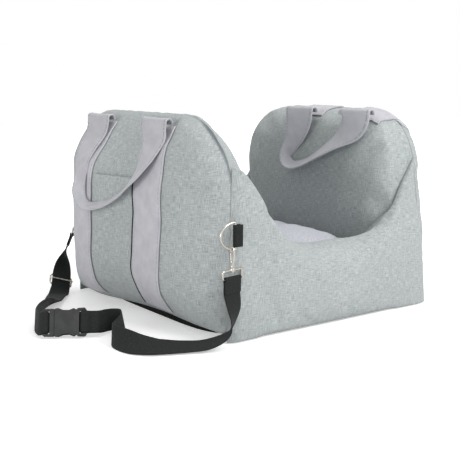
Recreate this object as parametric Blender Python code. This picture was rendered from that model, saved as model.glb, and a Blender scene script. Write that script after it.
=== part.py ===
"""Pet car seat bed: two tall pillow walls, two low saddle sides, a seat cushion, carry handles and a tether.

Metres, +Z up. The origin is at the middle of the bed's footprint, on the surface that it stands on.
-X is the left wall, with the pocket; +X is the right wall; -Y is the near low side; +Y is the far one.
"""
import math

import bmesh
import bpy
import numpy as np
from mathutils import Matrix, Vector

# Overall sizes
HALF_LENGTH = 0.232          # half the distance between the corner seams, along X
HALF_DEPTH = 0.250           # half the distance over the two low sides, along Y
HEIGHT = 0.372               # floor to the top of a tall wall
GAP = 0.0003                 # clearance between pieces that touch
CLOTH = 0.0025               # thickness of the cover cloth with its lining

# Base
BASE_THICKNESS = 0.012
BASE_IN_X = 0.005            # base's edge in from the tall walls' outer seams
BASE_IN_Y = 0.028            # base's edge in from the low sides' outer faces
BASE_CORNER = 0.045
BOARD_THICKNESS = 0.004
BOARD_MARGIN = 0.004         # board edge to the cushion well's walls

# Tall walls, given for the right wall and mirrored for the left one
WALL_OUTER_SEAM = 0.226      # X of the seam round the outer panel
BASE_HALF_X = WALL_OUTER_SEAM - BASE_IN_X
BASE_HALF_Y = HALF_DEPTH - BASE_IN_Y
WALL_INNER_SEAM = 0.172      # X of the seam round the inner panel
WALL_OUTER_HALF = 0.008      # rounding of the outer panel next to its seam
WALL_OUTER_EDGE = 0.012      # how far in from the seam that rounding reaches
WALL_OUTER_BULGE = 0.040
WALL_INNER_HALF = 0.022
WALL_INNER_EDGE = 0.030
WALL_INNER_BULGE = 0.011
WALL_BULGE_REACH = 0.12      # distance in from the seam at which the bulge is full
WALL_TOP_RADIUS = 0.115
WALL_FOOT_RADIUS = 0.018
WALL_END_COVER = 0.0138      # what the low sides' thin flaps take at each end of a tall wall
WALL_RINGS = (0.0, 0.003, 0.007, 0.012, 0.020, 0.030, 0.055, 0.090, 0.130)
CORNER_STEPS = 7
FILL_SLOT_HALF_X = 0.010
FILL_SLOT_HALF_Y = 0.190

# Low sides
SIDE_THICKNESS = 0.085       # at the middle, beside the cushion
SIDE_RIM_LOW = 0.143
SIDE_BULGE = 0.010
SIDE_FOOT_RADIUS = 0.012
SIDE_RIM_RADIUS = 0.042
SIDE_FLOOR_GAP = 0.001       # the cloth's lower edge to the floor, outside the base pad
SIDE_END_GAP = 0.002         # side's end to the corner seam plane
RIM_RISE = ((0.0, 0.0), (0.03, 0.0), (0.07, 0.007), (0.11, 0.029), (0.13, 0.047), (0.15, 0.070),
            (0.17, 0.092), (0.19, 0.115), (0.21, 0.135), (0.232, 0.149))

# Seat cushion
CUSHION_GAP = 0.0012         # cushion to the walls and sides round it
CUSHION_TOP_EDGE = 0.122
CUSHION_CROWN = 0.020
CUSHION_CORNER = 0.030
ZIP_LENGTH = 0.200
ZIP_WIDTH = 0.010
ZIP_THICKNESS = 0.0016
ZIP_HEIGHT = 0.075
SLIDER_LENGTH = 0.012
SLIDER_WIDTH = 0.009
PULL_LENGTH = 0.016
PULL_WIDTH = 0.005
SLIDER_BEVEL = 0.0003
ZIP_END = 0.003              # end of the zip to its slider when it is closed

# Bands, handles and pocket
BAND_WIDTH = 0.085
BAND_THICKNESS = 0.0025
BAND_FOOT_Z = 0.030
LEFT_BAND_TOP_Z = 0.347
RIGHT_BAND_END_X = 0.169
LEFT_SPACING = 0.198         # between the middles of the left wall's two bands
RIGHT_SPACING = 0.160
LEFT_MIDDLE_Y = 0.022
RIGHT_MIDDLE_Y = -0.068
HANDLE_GRIP_WIDTH = 0.036
HANDLE_LEAN = 0.030          # how far a hanging grip is drawn along the wall
FOLD_LENGTH = 0.012          # the arms hang straight this far below their folds
GRIP_TILT = 0.35             # how far the grip's face tips outwards
HANDLE_THICKNESS = 0.0035
FOLD_RADIUS = 0.007
FOLD_END = math.radians(144)   # where a fold runs into the hanging strap
LEFT_FOLD_Z = 0.3565
RIGHT_FOLD_Z = 0.3645
LEFT_HANDLE_DROP = 0.156
RIGHT_HANDLE_DROP = 0.112
HANDLE_STAND_OFF = 0.0045    # handle's middle to the outermost cloth behind it
# Shape of a hanging handle's arm: share of the drop, share of the way in to its middle, share of its turn
HANDLE_HANG = ((0.0, 0.0, 0.0), (0.10, -0.012, 0.0), (0.25, -0.085, 0.05), (0.42, -0.13, 0.15),
               (0.60, -0.07, 0.32), (0.78, 0.12, 0.58), (0.92, 0.42, 0.85), (0.985, 0.73, 0.97), (1.0, 1.0, 1.0))
HANDLE_TAPER = ((0.0, 1.0), (0.10, 0.80), (0.30, 0.25), (0.50, 0.0), (1.0, 0.0))
POCKET_TOP_Z = 0.258
POCKET_FOOT_Z = 0.060
POCKET_ROOM = 0.0056
POCKET_CLOTH = 0.0016
POCKET_SEAM = 0.004          # pocket edge to the band beside it

# Tether hardware
WEB_WIDTH = 0.038
WEB_THICKNESS = 0.0018
WIRE_RADIUS = 0.00175
RING_DEPTH = 0.0293
RING_HALF_HEIGHT = 0.0222
NEAR_RING_Z = 0.182
FAR_RING_Z = 0.175           # the far tab sits a little lower
RING_INSET_X = 0.0125        # corner seam to the ring's straight bar
TAB_TAIL = 0.012
TAB_PACK = 0.0024            # turned-under webbing between the tab's fold and the side
HOOK_RADIUS = 0.0016
HOOK_LENGTH = 0.030          # ring wire to the hook's collar
HOOK_JAW = 0.0044            # half the width of the jaw, to the wire's centre
HOOK_NOSE = 0.0045           # how far the hook's nose comes down past the ring wire
NECK_RADIUS = 0.0015
NECK_LENGTH = 0.0064
HEAD_RADIUS = 0.0028
LOOP_WIRE = 0.0016
LOOP_HEIGHT = 0.0135
LOOP_SIDE_GAP = 0.001
COLLAR_SIZE = 0.0085
GATE_RADIUS = 0.0013
NEAR_HOOK_INSET = 0.0062      # ring's straight bar to the near hook
NEAR_LOOP_TURN = 9.0         # degrees
FAR_RING_ANGLE = 35.0        # where round the ring's bow the far hook hangs, degrees
FAR_HOOK_LEAN = 25.0         # degrees
FAR_LOOP_TURN = 58.0         # degrees
EYE_TAIL = 0.024             # sewn doubled end of the webbing
PLUG_EYE_TAIL = 0.012        # the same at the buckle's plug
PLUG_EYE_TURN = 55.0         # how far the webbing turns away from the buckle's length at its plug, degrees

# Side-release buckle
BUCKLE_WIDTH = 0.048
BUCKLE_THICKNESS = 0.013
BUCKLE_BODY = 0.036
BUCKLE_WALL = 0.0025
BUCKLE_SIDE_WALL = 0.0048
BUCKLE_BAR_END = 0.017
BUCKLE_SLOT = 0.007
BUCKLE_BAR = 0.005
BAR_BORE = 0.0040            # inside radius of the webbing's fold round a buckle bar
MALE_END = 0.020
MALE_THICKNESS = 0.009
TONGUE_WIDTH = 0.007
PRONG_WIDTH = 0.0042
PRONG_LENGTH = 0.026
PRONG_HEAD = 0.0022
RUNNING_GAP = 0.0004
BUCKLE_CENTRE = (-0.4200, -0.0470)
BUCKLE_HEADING = 149.0       # direction from the female half to the male half, degrees from +X
BUCKLE_LEAN = 27.0           # how far the buckle leans back from standing on its edge, degrees

# Strap adjuster
GLIDE_HEIGHT = 0.024
GLIDE_WIRE = 0.0016
GLIDE_SIDE_GAP = 0.0012
GLIDE_PLAY = 0.0002          # room for the webbing's bend between the adjuster's bars
FLOOR_GAP = 0.0005
OPEN_GAP = 0.0026            # between the far webbing and its sewn end, which swing apart

# Tether routes: points chosen by hand, each with the direction in which the webbing's width lies
NEAR_ROUTE = (
    ((-0.2235, -0.2590, 0.064), (1.0, 0.15, 0.0)),
    ((-0.2260, -0.2600, 0.044), (0.95, 0.05, -0.30)),
    ((-0.2350, -0.2620, 0.028), (0.60, -0.35, -0.70)),
    ((-0.2520, -0.2590, 0.0165), (0.20, -0.85, -0.50)),
    ((-0.2740, -0.2480, 0.0090), (0.00, -0.95, -0.30)),
    ((-0.3000, -0.2350, 0.0080), (0.00, -0.95, -0.28)),
    ((-0.3260, -0.2240, 0.0095), (0.00, -0.93, -0.36)),
    ((-0.3500, -0.2130, 0.0120), (-0.10, -0.85, -0.50)),
    ((-0.3700, -0.1950, 0.0150), (-0.25, -0.70, -0.70)),
    ((-0.3820, -0.1700, 0.0180), (-0.25, -0.35, -0.90)),
    ((-0.3840, -0.1440, 0.0190), (-0.10, -0.05, -0.99)),
    ((-0.3700, -0.1260, 0.0195), (0.10, 0.15, -0.98)),
    ((-0.3500, -0.1090, 0.0195), (0.15, 0.00, -0.99)),
    ((-0.3330, -0.0900, 0.0195), (0.15, -0.10, -0.99)),
    ((-0.3275, -0.0720, 0.0195), (0.05, -0.20, -0.97)),
    ((-0.3370, -0.0620, 0.0200), (-0.10, -0.30, -0.95)),
    ((-0.3520, -0.0660, 0.0220), (-0.20, -0.35, -0.92)),
)
FAR_ROUTE = (
    ((-0.2800, 0.2500, 0.0580), (0.88, 0.20, -0.35)),
    ((-0.2890, 0.2397, 0.0400), (0.90, -0.24, -0.35)),
    ((-0.2945, 0.2320, 0.0290), (0.90, -0.26, -0.35)),
    ((-0.2991, 0.2256, 0.0199), (0.90, -0.27, -0.34)),
    ((-0.3020, 0.2217, 0.0143), (0.90, -0.28, -0.32)),
    ((-0.3110, 0.2108, 0.0080), (0.88, -0.36, -0.12)),
    ((-0.3240, 0.1950, 0.0070), (0.84, -0.40, 0.00)),
    ((-0.3500, 0.1580, 0.0075), (0.81, -0.50, 0.15)),
    ((-0.3740, 0.1220, 0.0120), (0.74, -0.40, 0.50)),
    ((-0.3960, 0.0900, 0.0180), (0.45, -0.10, 0.88)),
    ((-0.4180, 0.0600, 0.0195), (0.20, 0.10, 0.97)),
    ((-0.4370, 0.0320, 0.0195), (0.15, 0.15, 0.97)),
    ((-0.4480, 0.0100, 0.0200), (0.20, 0.25, 0.94)),
)
GLIDE_PLACE = (-0.2930, 0.2335, 0.0310)
ROUTE_STEP = 0.010


def colour(hex_code):
    """Linear RGBA of an sRGB hex colour."""
    channels = [int(hex_code[i:i + 2], 16) / 255.0 for i in (0, 2, 4)]
    return [c / 12.92 if c <= 0.04045 else ((c + 0.055) / 1.055) ** 2.4 for c in channels] + [1.0]


def material(name, hex_code, roughness, metallic=0.0):
    """One Principled material."""
    mat = bpy.data.materials.new(name)
    mat.use_nodes = True
    shader = mat.node_tree.nodes["Principled BSDF"]
    shader.inputs["Base Color"].default_value = colour(hex_code)
    shader.inputs["Roughness"].default_value = roughness
    shader.inputs["Metallic"].default_value = metallic
    mat.diffuse_color = colour(hex_code)
    return mat


FINISHES = {
    "melange_cloth": ("A9AFAF", 0.95, 0.0),
    "lilac_cloth": ("C2C3C6", 0.90, 0.0),
    "cushion_cloth": ("B9BAC0", 0.92, 0.0),
    "base_cloth": ("1D1F1E", 0.90, 0.0),
    "filling": ("ECECE8", 0.95, 0.0),
    "foam": ("E6E2D2", 0.95, 0.0),
    "board": ("4A4A48", 0.80, 0.0),
    "webbing": ("1A1C1C", 0.85, 0.0),
    "nickel": ("C9C6C0", 0.25, 1.0),
    "black_plastic": ("303230", 0.45, 0.0),
    "zip_tape": ("9A9DA2", 0.80, 0.0),
}
MATERIALS = {}


def finish(obj, name, slot, parent=None):
    """Name the object, give it its material and hang it on its parent."""
    obj.name = name
    obj.data.name = name
    obj.data.materials.clear()
    if slot not in MATERIALS:
        MATERIALS[slot] = material(slot, *FINISHES[slot])
    obj.data.materials.append(MATERIALS[slot])
    if parent:
        obj.parent = parent
        obj.matrix_parent_inverse = parent.matrix_world.inverted()
    return obj


def mesh_object(name, verts, faces):
    """A closed mesh with its faces pointing out."""
    mesh = bpy.data.meshes.new(name)
    mesh.from_pydata([tuple(v) for v in verts], [], faces)
    bm = bmesh.new()
    bm.from_mesh(mesh)
    bmesh.ops.recalc_face_normals(bm, faces=bm.faces)
    bm.to_mesh(mesh)
    bm.free()
    obj = bpy.data.objects.new(name, mesh)
    bpy.context.scene.collection.objects.link(obj)
    return obj


def loft(name, rings, closed=False):
    """A solid through a list of rings with equal point counts; closed joins the last ring to the first."""
    count = len(rings[0])
    verts = [p for ring in rings for p in ring]
    faces = []
    pairs = len(rings) if closed else len(rings) - 1
    for r in range(pairs):
        a, b = r * count, ((r + 1) % len(rings)) * count
        for k in range(count):
            n = (k + 1) % count
            faces.append((a + k, a + n, b + n))
            faces.append((a + k, b + n, b + k))
    if not closed:
        faces.append(tuple(range(count)))
        faces.append(tuple(range((len(rings) - 1) * count, len(rings) * count)))
    return mesh_object(name, verts, faces)


def boolean(obj, cutter, operation):
    """A live Boolean with a hidden cutter."""
    cutter.hide_render = True
    cutter.display_type = "WIRE"
    mod = obj.modifiers.new(operation.lower(), "BOOLEAN")
    mod.operation = operation
    mod.solver = "EXACT"
    mod.object = cutter
    return obj


def block(name, low, high, bevel=0.0, segments=2):
    """A box between two corners, with its edges bevelled."""
    low, high = Vector(low), Vector(high)
    bm = bmesh.new()
    bmesh.ops.create_cube(bm, size=1.0)
    for v in bm.verts:
        v.co = Vector([(low[i] + high[i]) / 2 + v.co[i] * (high[i] - low[i]) for i in range(3)])
    mesh = bpy.data.meshes.new(name)
    bm.to_mesh(mesh)
    bm.free()
    obj = bpy.data.objects.new(name, mesh)
    bpy.context.scene.collection.objects.link(obj)
    if bevel:
        mod = obj.modifiers.new("bevel", "BEVEL")
        mod.width = bevel
        mod.segments = segments
        mod.limit_method = "ANGLE"
    return obj


def cylinder(name, start, end, radius, sides=16):
    """A round bar from start to end."""
    start, end = Vector(start), Vector(end)
    return tube(name, [start, end], [radius, radius], sides)


def frame_along(points, closed=False):
    """A tangent and two normals at each point, carried along without twist."""
    count = len(points)
    tangents = []
    for i in range(count):
        before = points[(i - 1) % count] if closed or i else points[0]
        after = points[(i + 1) % count] if closed or i < count - 1 else points[-1]
        tangents.append((after - before).normalized())
    side = tangents[0].orthogonal().normalized()
    frames = []
    for tangent in tangents:
        side = (side - tangent * side.dot(tangent)).normalized()
        frames.append((tangent, side, tangent.cross(side)))
    return frames


def tube(name, points, radii, sides=8, closed=False):
    """A round tube through points, with a radius at each."""
    points = [Vector(p) for p in points]
    rings = []
    for point, radius, (_, u, v) in zip(points, radii, frame_along(points, closed)):
        turns = [2 * math.pi * k / sides for k in range(sides)]
        rings.append([point + (u * math.cos(t) + v * math.sin(t)) * radius for t in turns])
    return loft(name, rings, closed)


def smooth_curve(points, step):
    """Points about a step apart on a Catmull-Rom curve through rows of numbers."""
    rows = np.array(points, float)
    rows = np.vstack([2 * rows[0] - rows[1], rows, 2 * rows[-1] - rows[-2]])
    result = []
    for i in range(1, len(rows) - 2):
        before, a, b, after = rows[i - 1:i + 3]
        pieces = max(1, round(float(np.linalg.norm(b[:3] - a[:3])) / step))
        for k in range(pieces):
            t = k / pieces
            result.append(0.5 * (2 * a + (b - before) * t + (2 * before - 5 * a + 4 * b - after) * t * t
                                 + (3 * a - 3 * b + after - before) * t ** 3))
    result.append(rows[-2])
    return np.array(result)


def ribbon(name, centres, width_guides, widths, thicknesses, floor=None):
    """A flat strap through centre points; its width follows the guides, and floor keeps it above a level."""
    centres = [Vector(c) for c in centres]
    rings = []
    for i, centre in enumerate(centres):
        ahead = centres[min(i + 1, len(centres) - 1)]
        behind = centres[max(i - 1, 0)]
        tangent = (ahead - behind).normalized()
        guide = Vector(width_guides[i])
        across = (guide - tangent * guide.dot(tangent)).normalized()
        normal = tangent.cross(across)
        half_w, half_t = widths[i] / 2, thicknesses[i] / 2
        if floor is not None:
            reach = abs(across.z) * half_w + abs(normal.z) * half_t
            centre = Vector((centre.x, centre.y, max(centre.z, floor + reach)))
        rings.append([centre + across * half_w + normal * half_t, centre - across * half_w + normal * half_t,
                      centre - across * half_w - normal * half_t, centre + across * half_w - normal * half_t])
    return loft(name, rings)


def wall_outline(inset, grow):
    """The wall's outline in the YZ plane, drawn in by inset and let out by grow, as (y, z) points."""
    half_y = HALF_DEPTH - WALL_END_COVER - inset + grow
    low = BASE_THICKNESS + GAP + inset - grow
    high = HEIGHT - inset + grow
    points = []
    for y_sign, z_edge, radius, start in ((1, high, WALL_TOP_RADIUS, 0), (-1, high, WALL_TOP_RADIUS, 90),
                                          (-1, low, WALL_FOOT_RADIUS, 180), (1, low, WALL_FOOT_RADIUS, 270)):
        r = min(max(radius - inset + grow, 0.008), (high - low) / 2 - 0.001)
        z_centre = z_edge - r if start < 180 else z_edge + r
        for k in range(CORNER_STEPS + 1):
            angle = math.radians(start + 90 * k / CORNER_STEPS)
            points.append((y_sign * (half_y - r) + r * math.cos(angle), z_centre + r * math.sin(angle)))
    return points


def wall_depth(distance, half, edge, bulge):
    """How far a wall's panel stands off its seam's plane, at a distance in from the seam."""
    near = min(distance / edge, 1.0)
    swell = min(distance / WALL_BULGE_REACH, 1.0)
    return half * math.sqrt(1 - (1 - near) ** 2) + bulge * (1 - (1 - swell) ** 2)


def outer_face(distance):
    """X of the outer panel at a distance in from its seam."""
    return WALL_OUTER_SEAM + wall_depth(distance, WALL_OUTER_HALF, WALL_OUTER_EDGE, WALL_OUTER_BULGE)


def inner_face(distance):
    """X of the inner panel at a distance in from its seam."""
    return WALL_INNER_SEAM - wall_depth(distance, WALL_INNER_HALF, WALL_INNER_EDGE, WALL_INNER_BULGE)


def wall_solid(name, sign, grow=0.0):
    """The pillow of a tall wall, let out by grow all round, or drawn in where grow is negative."""
    places = [(outer_face(d) + grow, d) for d in reversed(WALL_RINGS)]
    places += [(inner_face(d) - grow, d) for d in WALL_RINGS]
    return loft(name, [[(sign * x, y, z) for y, z in wall_outline(d, grow)] for x, d in places])


def tall_wall(side, sign):
    """Cover and filling of one tall wall."""
    cover = wall_solid(f"{side}_wall_cover", sign)
    boolean(cover, wall_solid(f"{side}_wall_hollow", sign, -CLOTH), "DIFFERENCE")
    middle = sign * (WALL_OUTER_SEAM + WALL_INNER_SEAM) / 2
    slot = block(f"{side}_wall_slot", (middle - FILL_SLOT_HALF_X, -FILL_SLOT_HALF_Y, -BASE_THICKNESS),
                 (middle + FILL_SLOT_HALF_X, FILL_SLOT_HALF_Y, BASE_THICKNESS + CLOTH * 3))
    boolean(cover, slot, "DIFFERENCE")
    finish(cover, f"{side}_wall_cover", "melange_cloth")
    finish(wall_solid(f"{side}_wall_filling", sign, -CLOTH - GAP), f"{side}_wall_filling", "filling")


def beyond_wall():
    """An X outside everything that is sewn on a wall."""
    return outer_face(WALL_BULGE_REACH) + POCKET_ROOM + POCKET_CLOTH + BAND_THICKNESS


def wall_patch(name, sign, inner_x, y_range, z_range):
    """A block that keeps one patch of a wall's outer side."""
    xs = sorted((sign * inner_x, sign * beyond_wall()))
    return block(name, (xs[0], y_range[0], z_range[0]), (xs[1], y_range[1], z_range[1]))


def wall_band(name, sign, y_middle, inner_x, top_z):
    """A band sewn on a wall's outer side, up to top_z and in to inner_x."""
    band = wall_solid(name, sign, GAP + BAND_THICKNESS)
    boolean(band, wall_solid(name + "_bed", sign, GAP), "DIFFERENCE")
    edges = (y_middle - BAND_WIDTH / 2, y_middle + BAND_WIDTH / 2)
    boolean(band, wall_patch(name + "_keep", sign, inner_x, edges, (BAND_FOOT_Z, top_z)), "INTERSECT")
    return finish(band, name, "lilac_cloth")


def pocket():
    """The patch pocket between the left wall's bands: sewn at its sides and foot, open at the top."""
    half = (LEFT_SPACING - BAND_WIDTH) / 2 - POCKET_SEAM
    low, high = LEFT_MIDDLE_Y - half, LEFT_MIDDLE_Y + half
    panel = wall_solid("left_pocket", -1, POCKET_ROOM + POCKET_CLOTH)
    patch = wall_patch("left_pocket_patch", -1, WALL_OUTER_SEAM, (low, high), (POCKET_FOOT_Z, POCKET_TOP_Z))
    boolean(panel, patch, "INTERSECT")
    boolean(panel, wall_solid("left_pocket_bed", -1, GAP), "DIFFERENCE")
    room = wall_solid("left_pocket_room", -1, POCKET_ROOM)
    mouth = wall_patch("left_pocket_mouth", -1, WALL_OUTER_SEAM, (low + POCKET_CLOTH, high - POCKET_CLOTH),
                       (POCKET_FOOT_Z + POCKET_CLOTH, HEIGHT))
    boolean(room, mouth, "INTERSECT")
    boolean(panel, room, "DIFFERENCE")
    return finish(panel, "left_pocket", "melange_cloth")


def rim_height(x):
    """Height of a low side's rim at a distance along it."""
    xs, rises = zip(*RIM_RISE)
    return SIDE_RIM_LOW + float(np.interp(abs(x), xs, rises))


def side_wrap():
    """Places along X, and the thickness there, where a low side thins to lie over a tall wall's end."""
    flap = WALL_END_COVER - GAP
    full = SIDE_THICKNESS - flap
    distances = [full] + [d for d in reversed(WALL_RINGS) if d < full]
    return [(inner_face(d) - GAP, flap + d) for d in distances]


def side_thickness(x):
    """Thickness of a low side: full beside the cushion, thin where it lies over a tall wall's end."""
    xs, thicknesses = zip(*side_wrap())
    return float(np.interp(abs(x), xs, thicknesses))


def side_face(x, height_share):
    """How far a low side's outer face stands off the flat plane of the side."""
    along = (1 - (x / HALF_LENGTH) ** 2) ** 2
    return SIDE_BULGE * along * math.sin(math.pi * height_share)


def side_section(x, sign, thickness, inset, foot):
    """One YZ section of a low side as a ring of points."""
    low = SIDE_FLOOR_GAP + foot
    high = rim_height(x) - inset
    outer = HALF_DEPTH - inset
    inner = HALF_DEPTH - thickness + inset
    cap = min((outer - inner) / 2, SIDE_RIM_RADIUS - inset)
    toe = min(SIDE_FOOT_RADIUS, (outer - inner) / 2 - 0.0005)
    points = []
    for centre_z, radius, start in ((low + toe, toe, 270), (high - cap, cap, 0)):
        for k in range(5):
            angle = math.radians(start + 90 * k / 4)
            points.append((outer - radius + radius * math.cos(angle), centre_z + radius * math.sin(angle)))
    for centre_z, radius, start in ((high - cap, cap, 90), (low + toe, toe, 180)):
        for k in range(5):
            angle = math.radians(start + 90 * k / 4)
            points.append((inner + radius + radius * math.cos(angle), centre_z + radius * math.sin(angle)))
    ring = []
    for y, z in points:
        share = min(max((z - low) / (high - low), 0.0), 1.0)
        blend = (y - inner) / (outer - inner)
        ring.append((x, sign * (y + side_face(x, share) * blend), z))
    return ring


def well_half_x():
    """Half the length of the room between the tall walls."""
    return inner_face(WALL_BULGE_REACH)


def well_half_y():
    """Half the depth of the room between the low sides."""
    return HALF_DEPTH - SIDE_THICKNESS


def side_stations(limit):
    """Places along X of a low side's sections, out to a limit."""
    places = [0.0, 0.03, 0.06, 0.085, 0.11] + [x for x, _ in side_wrap()] + [0.205]
    half = [x for x in places if x < limit - CLOTH] + [limit]
    return [-x for x in reversed(half[1:])] + half


def base_room(name):
    """The room that the base pad takes under the sides."""
    return block(name, (-BASE_HALF_X - GAP, -BASE_HALF_Y - GAP, -BASE_THICKNESS),
                 (BASE_HALF_X + GAP, BASE_HALF_Y + GAP, BASE_THICKNESS + GAP))


def low_side(side, sign):
    """Cover and filling of one low side."""
    end = HALF_LENGTH - SIDE_END_GAP
    rings = [side_section(x, sign, side_thickness(x), 0.0, 0.0) for x in side_stations(end)]
    cover = loft(f"{side}_side_cover", rings)
    boolean(cover, base_room(f"{side}_side_seat"), "DIFFERENCE")
    inner_end = well_half_x() - CUSHION_GAP - CLOTH
    hollow = loft(f"{side}_side_hollow", [side_section(x, sign, SIDE_THICKNESS, CLOTH, CLOTH)
                                          for x in side_stations(inner_end)])
    boolean(cover, hollow, "DIFFERENCE")
    finish(cover, f"{side}_side_cover", "melange_cloth")
    filling = loft(f"{side}_side_filling", [side_section(x, sign, SIDE_THICKNESS, CLOTH + GAP, CLOTH + GAP)
                                            for x in side_stations(inner_end - GAP)])
    boolean(filling, base_room(f"{side}_filling_seat"), "DIFFERENCE")
    finish(filling, f"{side}_side_filling", "filling")


def plan_ring(half_x, half_y, radius, z):
    """A rounded rectangle in plan."""
    points = []
    for x_sign, y_sign, start in ((1, 1, 0), (-1, 1, 90), (-1, -1, 180), (1, -1, 270)):
        for k in range(CORNER_STEPS + 1):
            angle = math.radians(start + 90 * k / CORNER_STEPS)
            points.append((x_sign * (half_x - radius) + radius * math.cos(angle),
                           y_sign * (half_y - radius) + radius * math.sin(angle), z))
    return points


def base():
    """The non-slip base under everything, and the board that keeps it flat."""
    edge = 0.003
    rings = [plan_ring(BASE_HALF_X - edge, BASE_HALF_Y - edge, BASE_CORNER - edge, 0.0),
             plan_ring(BASE_HALF_X, BASE_HALF_Y, BASE_CORNER, edge),
             plan_ring(BASE_HALF_X, BASE_HALF_Y, BASE_CORNER, BASE_THICKNESS - edge),
             plan_ring(BASE_HALF_X - edge, BASE_HALF_Y - edge, BASE_CORNER - edge, BASE_THICKNESS)]
    finish(loft("base_pad", rings), "base_pad", "base_cloth")
    half_x, half_y = well_half_x() - BOARD_MARGIN, well_half_y() - BOARD_MARGIN
    low = BASE_THICKNESS + GAP
    rings = [plan_ring(half_x, half_y, CUSHION_CORNER / 3, z) for z in (low, low + BOARD_THICKNESS)]
    finish(loft("base_board", rings), "base_board", "board")


def pad_rings(inset, low):
    """Rings of the seat cushion, drawn in by inset, from its underside to its crowned top."""
    half_x = well_half_x() - CUSHION_GAP - inset
    half_y = well_half_y() - CUSHION_GAP - inset
    top = CUSHION_TOP_EDGE - inset
    profile = ((0.012, 0.0), (0.003, 0.004), (0.0, 0.014))
    rings = [plan_ring(half_x - d, half_y - d, CUSHION_CORNER - d, low + rise) for d, rise in profile]
    for d, drop in ((0.0, 0.016), (0.003, 0.006), (0.012, 0.0)):
        rings.append(plan_ring(half_x - d, half_y - d, CUSHION_CORNER - d, top - drop))
    for share, rise in ((0.80, 0.42), (0.55, 0.78), (0.25, 1.0)):
        height = top + CUSHION_CROWN * rise
        rings.append(plan_ring(half_x * share, half_y * share, CUSHION_CORNER * share, height))
    return rings


def seat_cushion(parent):
    """The lift-out seat cushion: foam, cover, and the zip along its far face."""
    low = BASE_THICKNESS + GAP + BOARD_THICKNESS + GAP
    face_y = well_half_y() - CUSHION_GAP
    cover = loft("seat_cushion_cover", pad_rings(0.0, low))
    boolean(cover, loft("seat_cushion_hollow", pad_rings(CLOTH, low + CLOTH)), "DIFFERENCE")
    reach, half = ZIP_LENGTH / 2 + GAP, ZIP_WIDTH / 2 + GAP
    mouth = block("seat_cushion_mouth", (-reach, face_y - 2 * CLOTH, ZIP_HEIGHT - half),
                  (reach, face_y + CLOTH, ZIP_HEIGHT + half))
    boolean(cover, mouth, "DIFFERENCE")
    finish(cover, "seat_cushion_cover", "cushion_cloth", parent)
    foam = loft("seat_cushion_foam", pad_rings(CLOTH + GAP, low + CLOTH + GAP))
    finish(foam, "seat_cushion_foam", "foam", parent)
    inner = face_y - CLOTH + GAP
    tape = block("cushion_zip", (-ZIP_LENGTH / 2, inner, ZIP_HEIGHT - ZIP_WIDTH / 2),
                 (ZIP_LENGTH / 2, inner + ZIP_THICKNESS, ZIP_HEIGHT + ZIP_WIDTH / 2))
    finish(tape, "cushion_zip", "zip_tape", parent)
    zip_slider(inner + ZIP_THICKNESS + GAP, well_half_y() - GAP, parent)


def zip_slider(back, front, parent):
    """The zip's slider with its pull lying along the zip; it fills the room between the tape and the side."""
    shoulder = SLIDER_LENGTH + (SLIDER_WIDTH - PULL_WIDTH) / 2
    stations = [(0.0, SLIDER_WIDTH / 2), (SLIDER_LENGTH, SLIDER_WIDTH / 2), (shoulder, PULL_WIDTH / 2),
                (SLIDER_LENGTH + PULL_LENGTH, PULL_WIDTH / 2)]
    place = Vector((-ZIP_LENGTH / 2 + ZIP_END, (back + front) / 2, ZIP_HEIGHT))
    slider = waisted_plate("cushion_zip_slider", stations, front - back, SLIDER_BEVEL)
    slider.matrix_world = Matrix.Translation(place) @ Matrix.Rotation(math.pi / 2, 4, "X")
    finish(slider, "cushion_zip_slider", "nickel", empty("zip_axis", place, parent))


def face_x_at(z, sign):
    """X of the face that a handle hangs before, at a height: outer face on the left, inner on the right."""
    distance = max(HEIGHT - z, 0.0)
    return -outer_face(distance) if sign < 0 else inner_face(distance)


def fold_seat(z, sign):
    """X of the axis that a handle swings about, and the angle at which its folds come nearest the cloth.

    The axis is as near the wall as lets the whole round of a fold turn clear of the face and the band.
    """
    reach = FOLD_RADIUS + HANDLE_THICKNESS / 2 + RUNNING_GAP
    seats = []
    for degrees in range(-84, 85, 3):
        angle = math.radians(degrees)
        height = z + reach * math.sin(angle)
        banded = sign < 0 and height < LEFT_BAND_TOP_Z + RUNNING_GAP
        cloth = face_x_at(height, sign) - (GAP + BAND_THICKNESS if banded else 0.0)
        seats.append((cloth - reach * math.cos(angle), angle))
    return min(seats)


def handle_half(half, axis_z, drop, sign):
    """One half of a handle, from its fold to the grip's middle: x, y, z, width direction and width."""
    axis_x, start = fold_seat(axis_z, sign)
    cover = POCKET_ROOM + POCKET_CLOTH if sign < 0 else 0.0
    downs, shares = zip(*HANDLE_TAPER)
    rows = []
    for angle in np.linspace(start, FOLD_END, 6):
        rows.append((axis_x + FOLD_RADIUS * math.cos(angle), half, axis_z + FOLD_RADIUS * math.sin(angle),
                     0.0, 1.0, 0.0, BAND_WIDTH))
    for down, inward, turn in HANDLE_HANG:
        z = axis_z - drop * down
        width = HANDLE_GRIP_WIDTH + (BAND_WIDTH - HANDLE_GRIP_WIDTH) * float(np.interp(down, downs, shares))
        across = Vector((-turn, 1.0 - turn, -GRIP_TILT * turn)).normalized()
        stand = face_x_at(z, sign) - cover - HANDLE_STAND_OFF + across.x * width / 2
        rows.append((min(axis_x - FOLD_RADIUS, stand), half * (1 - inward), z, *across, width))
    return rows


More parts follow.
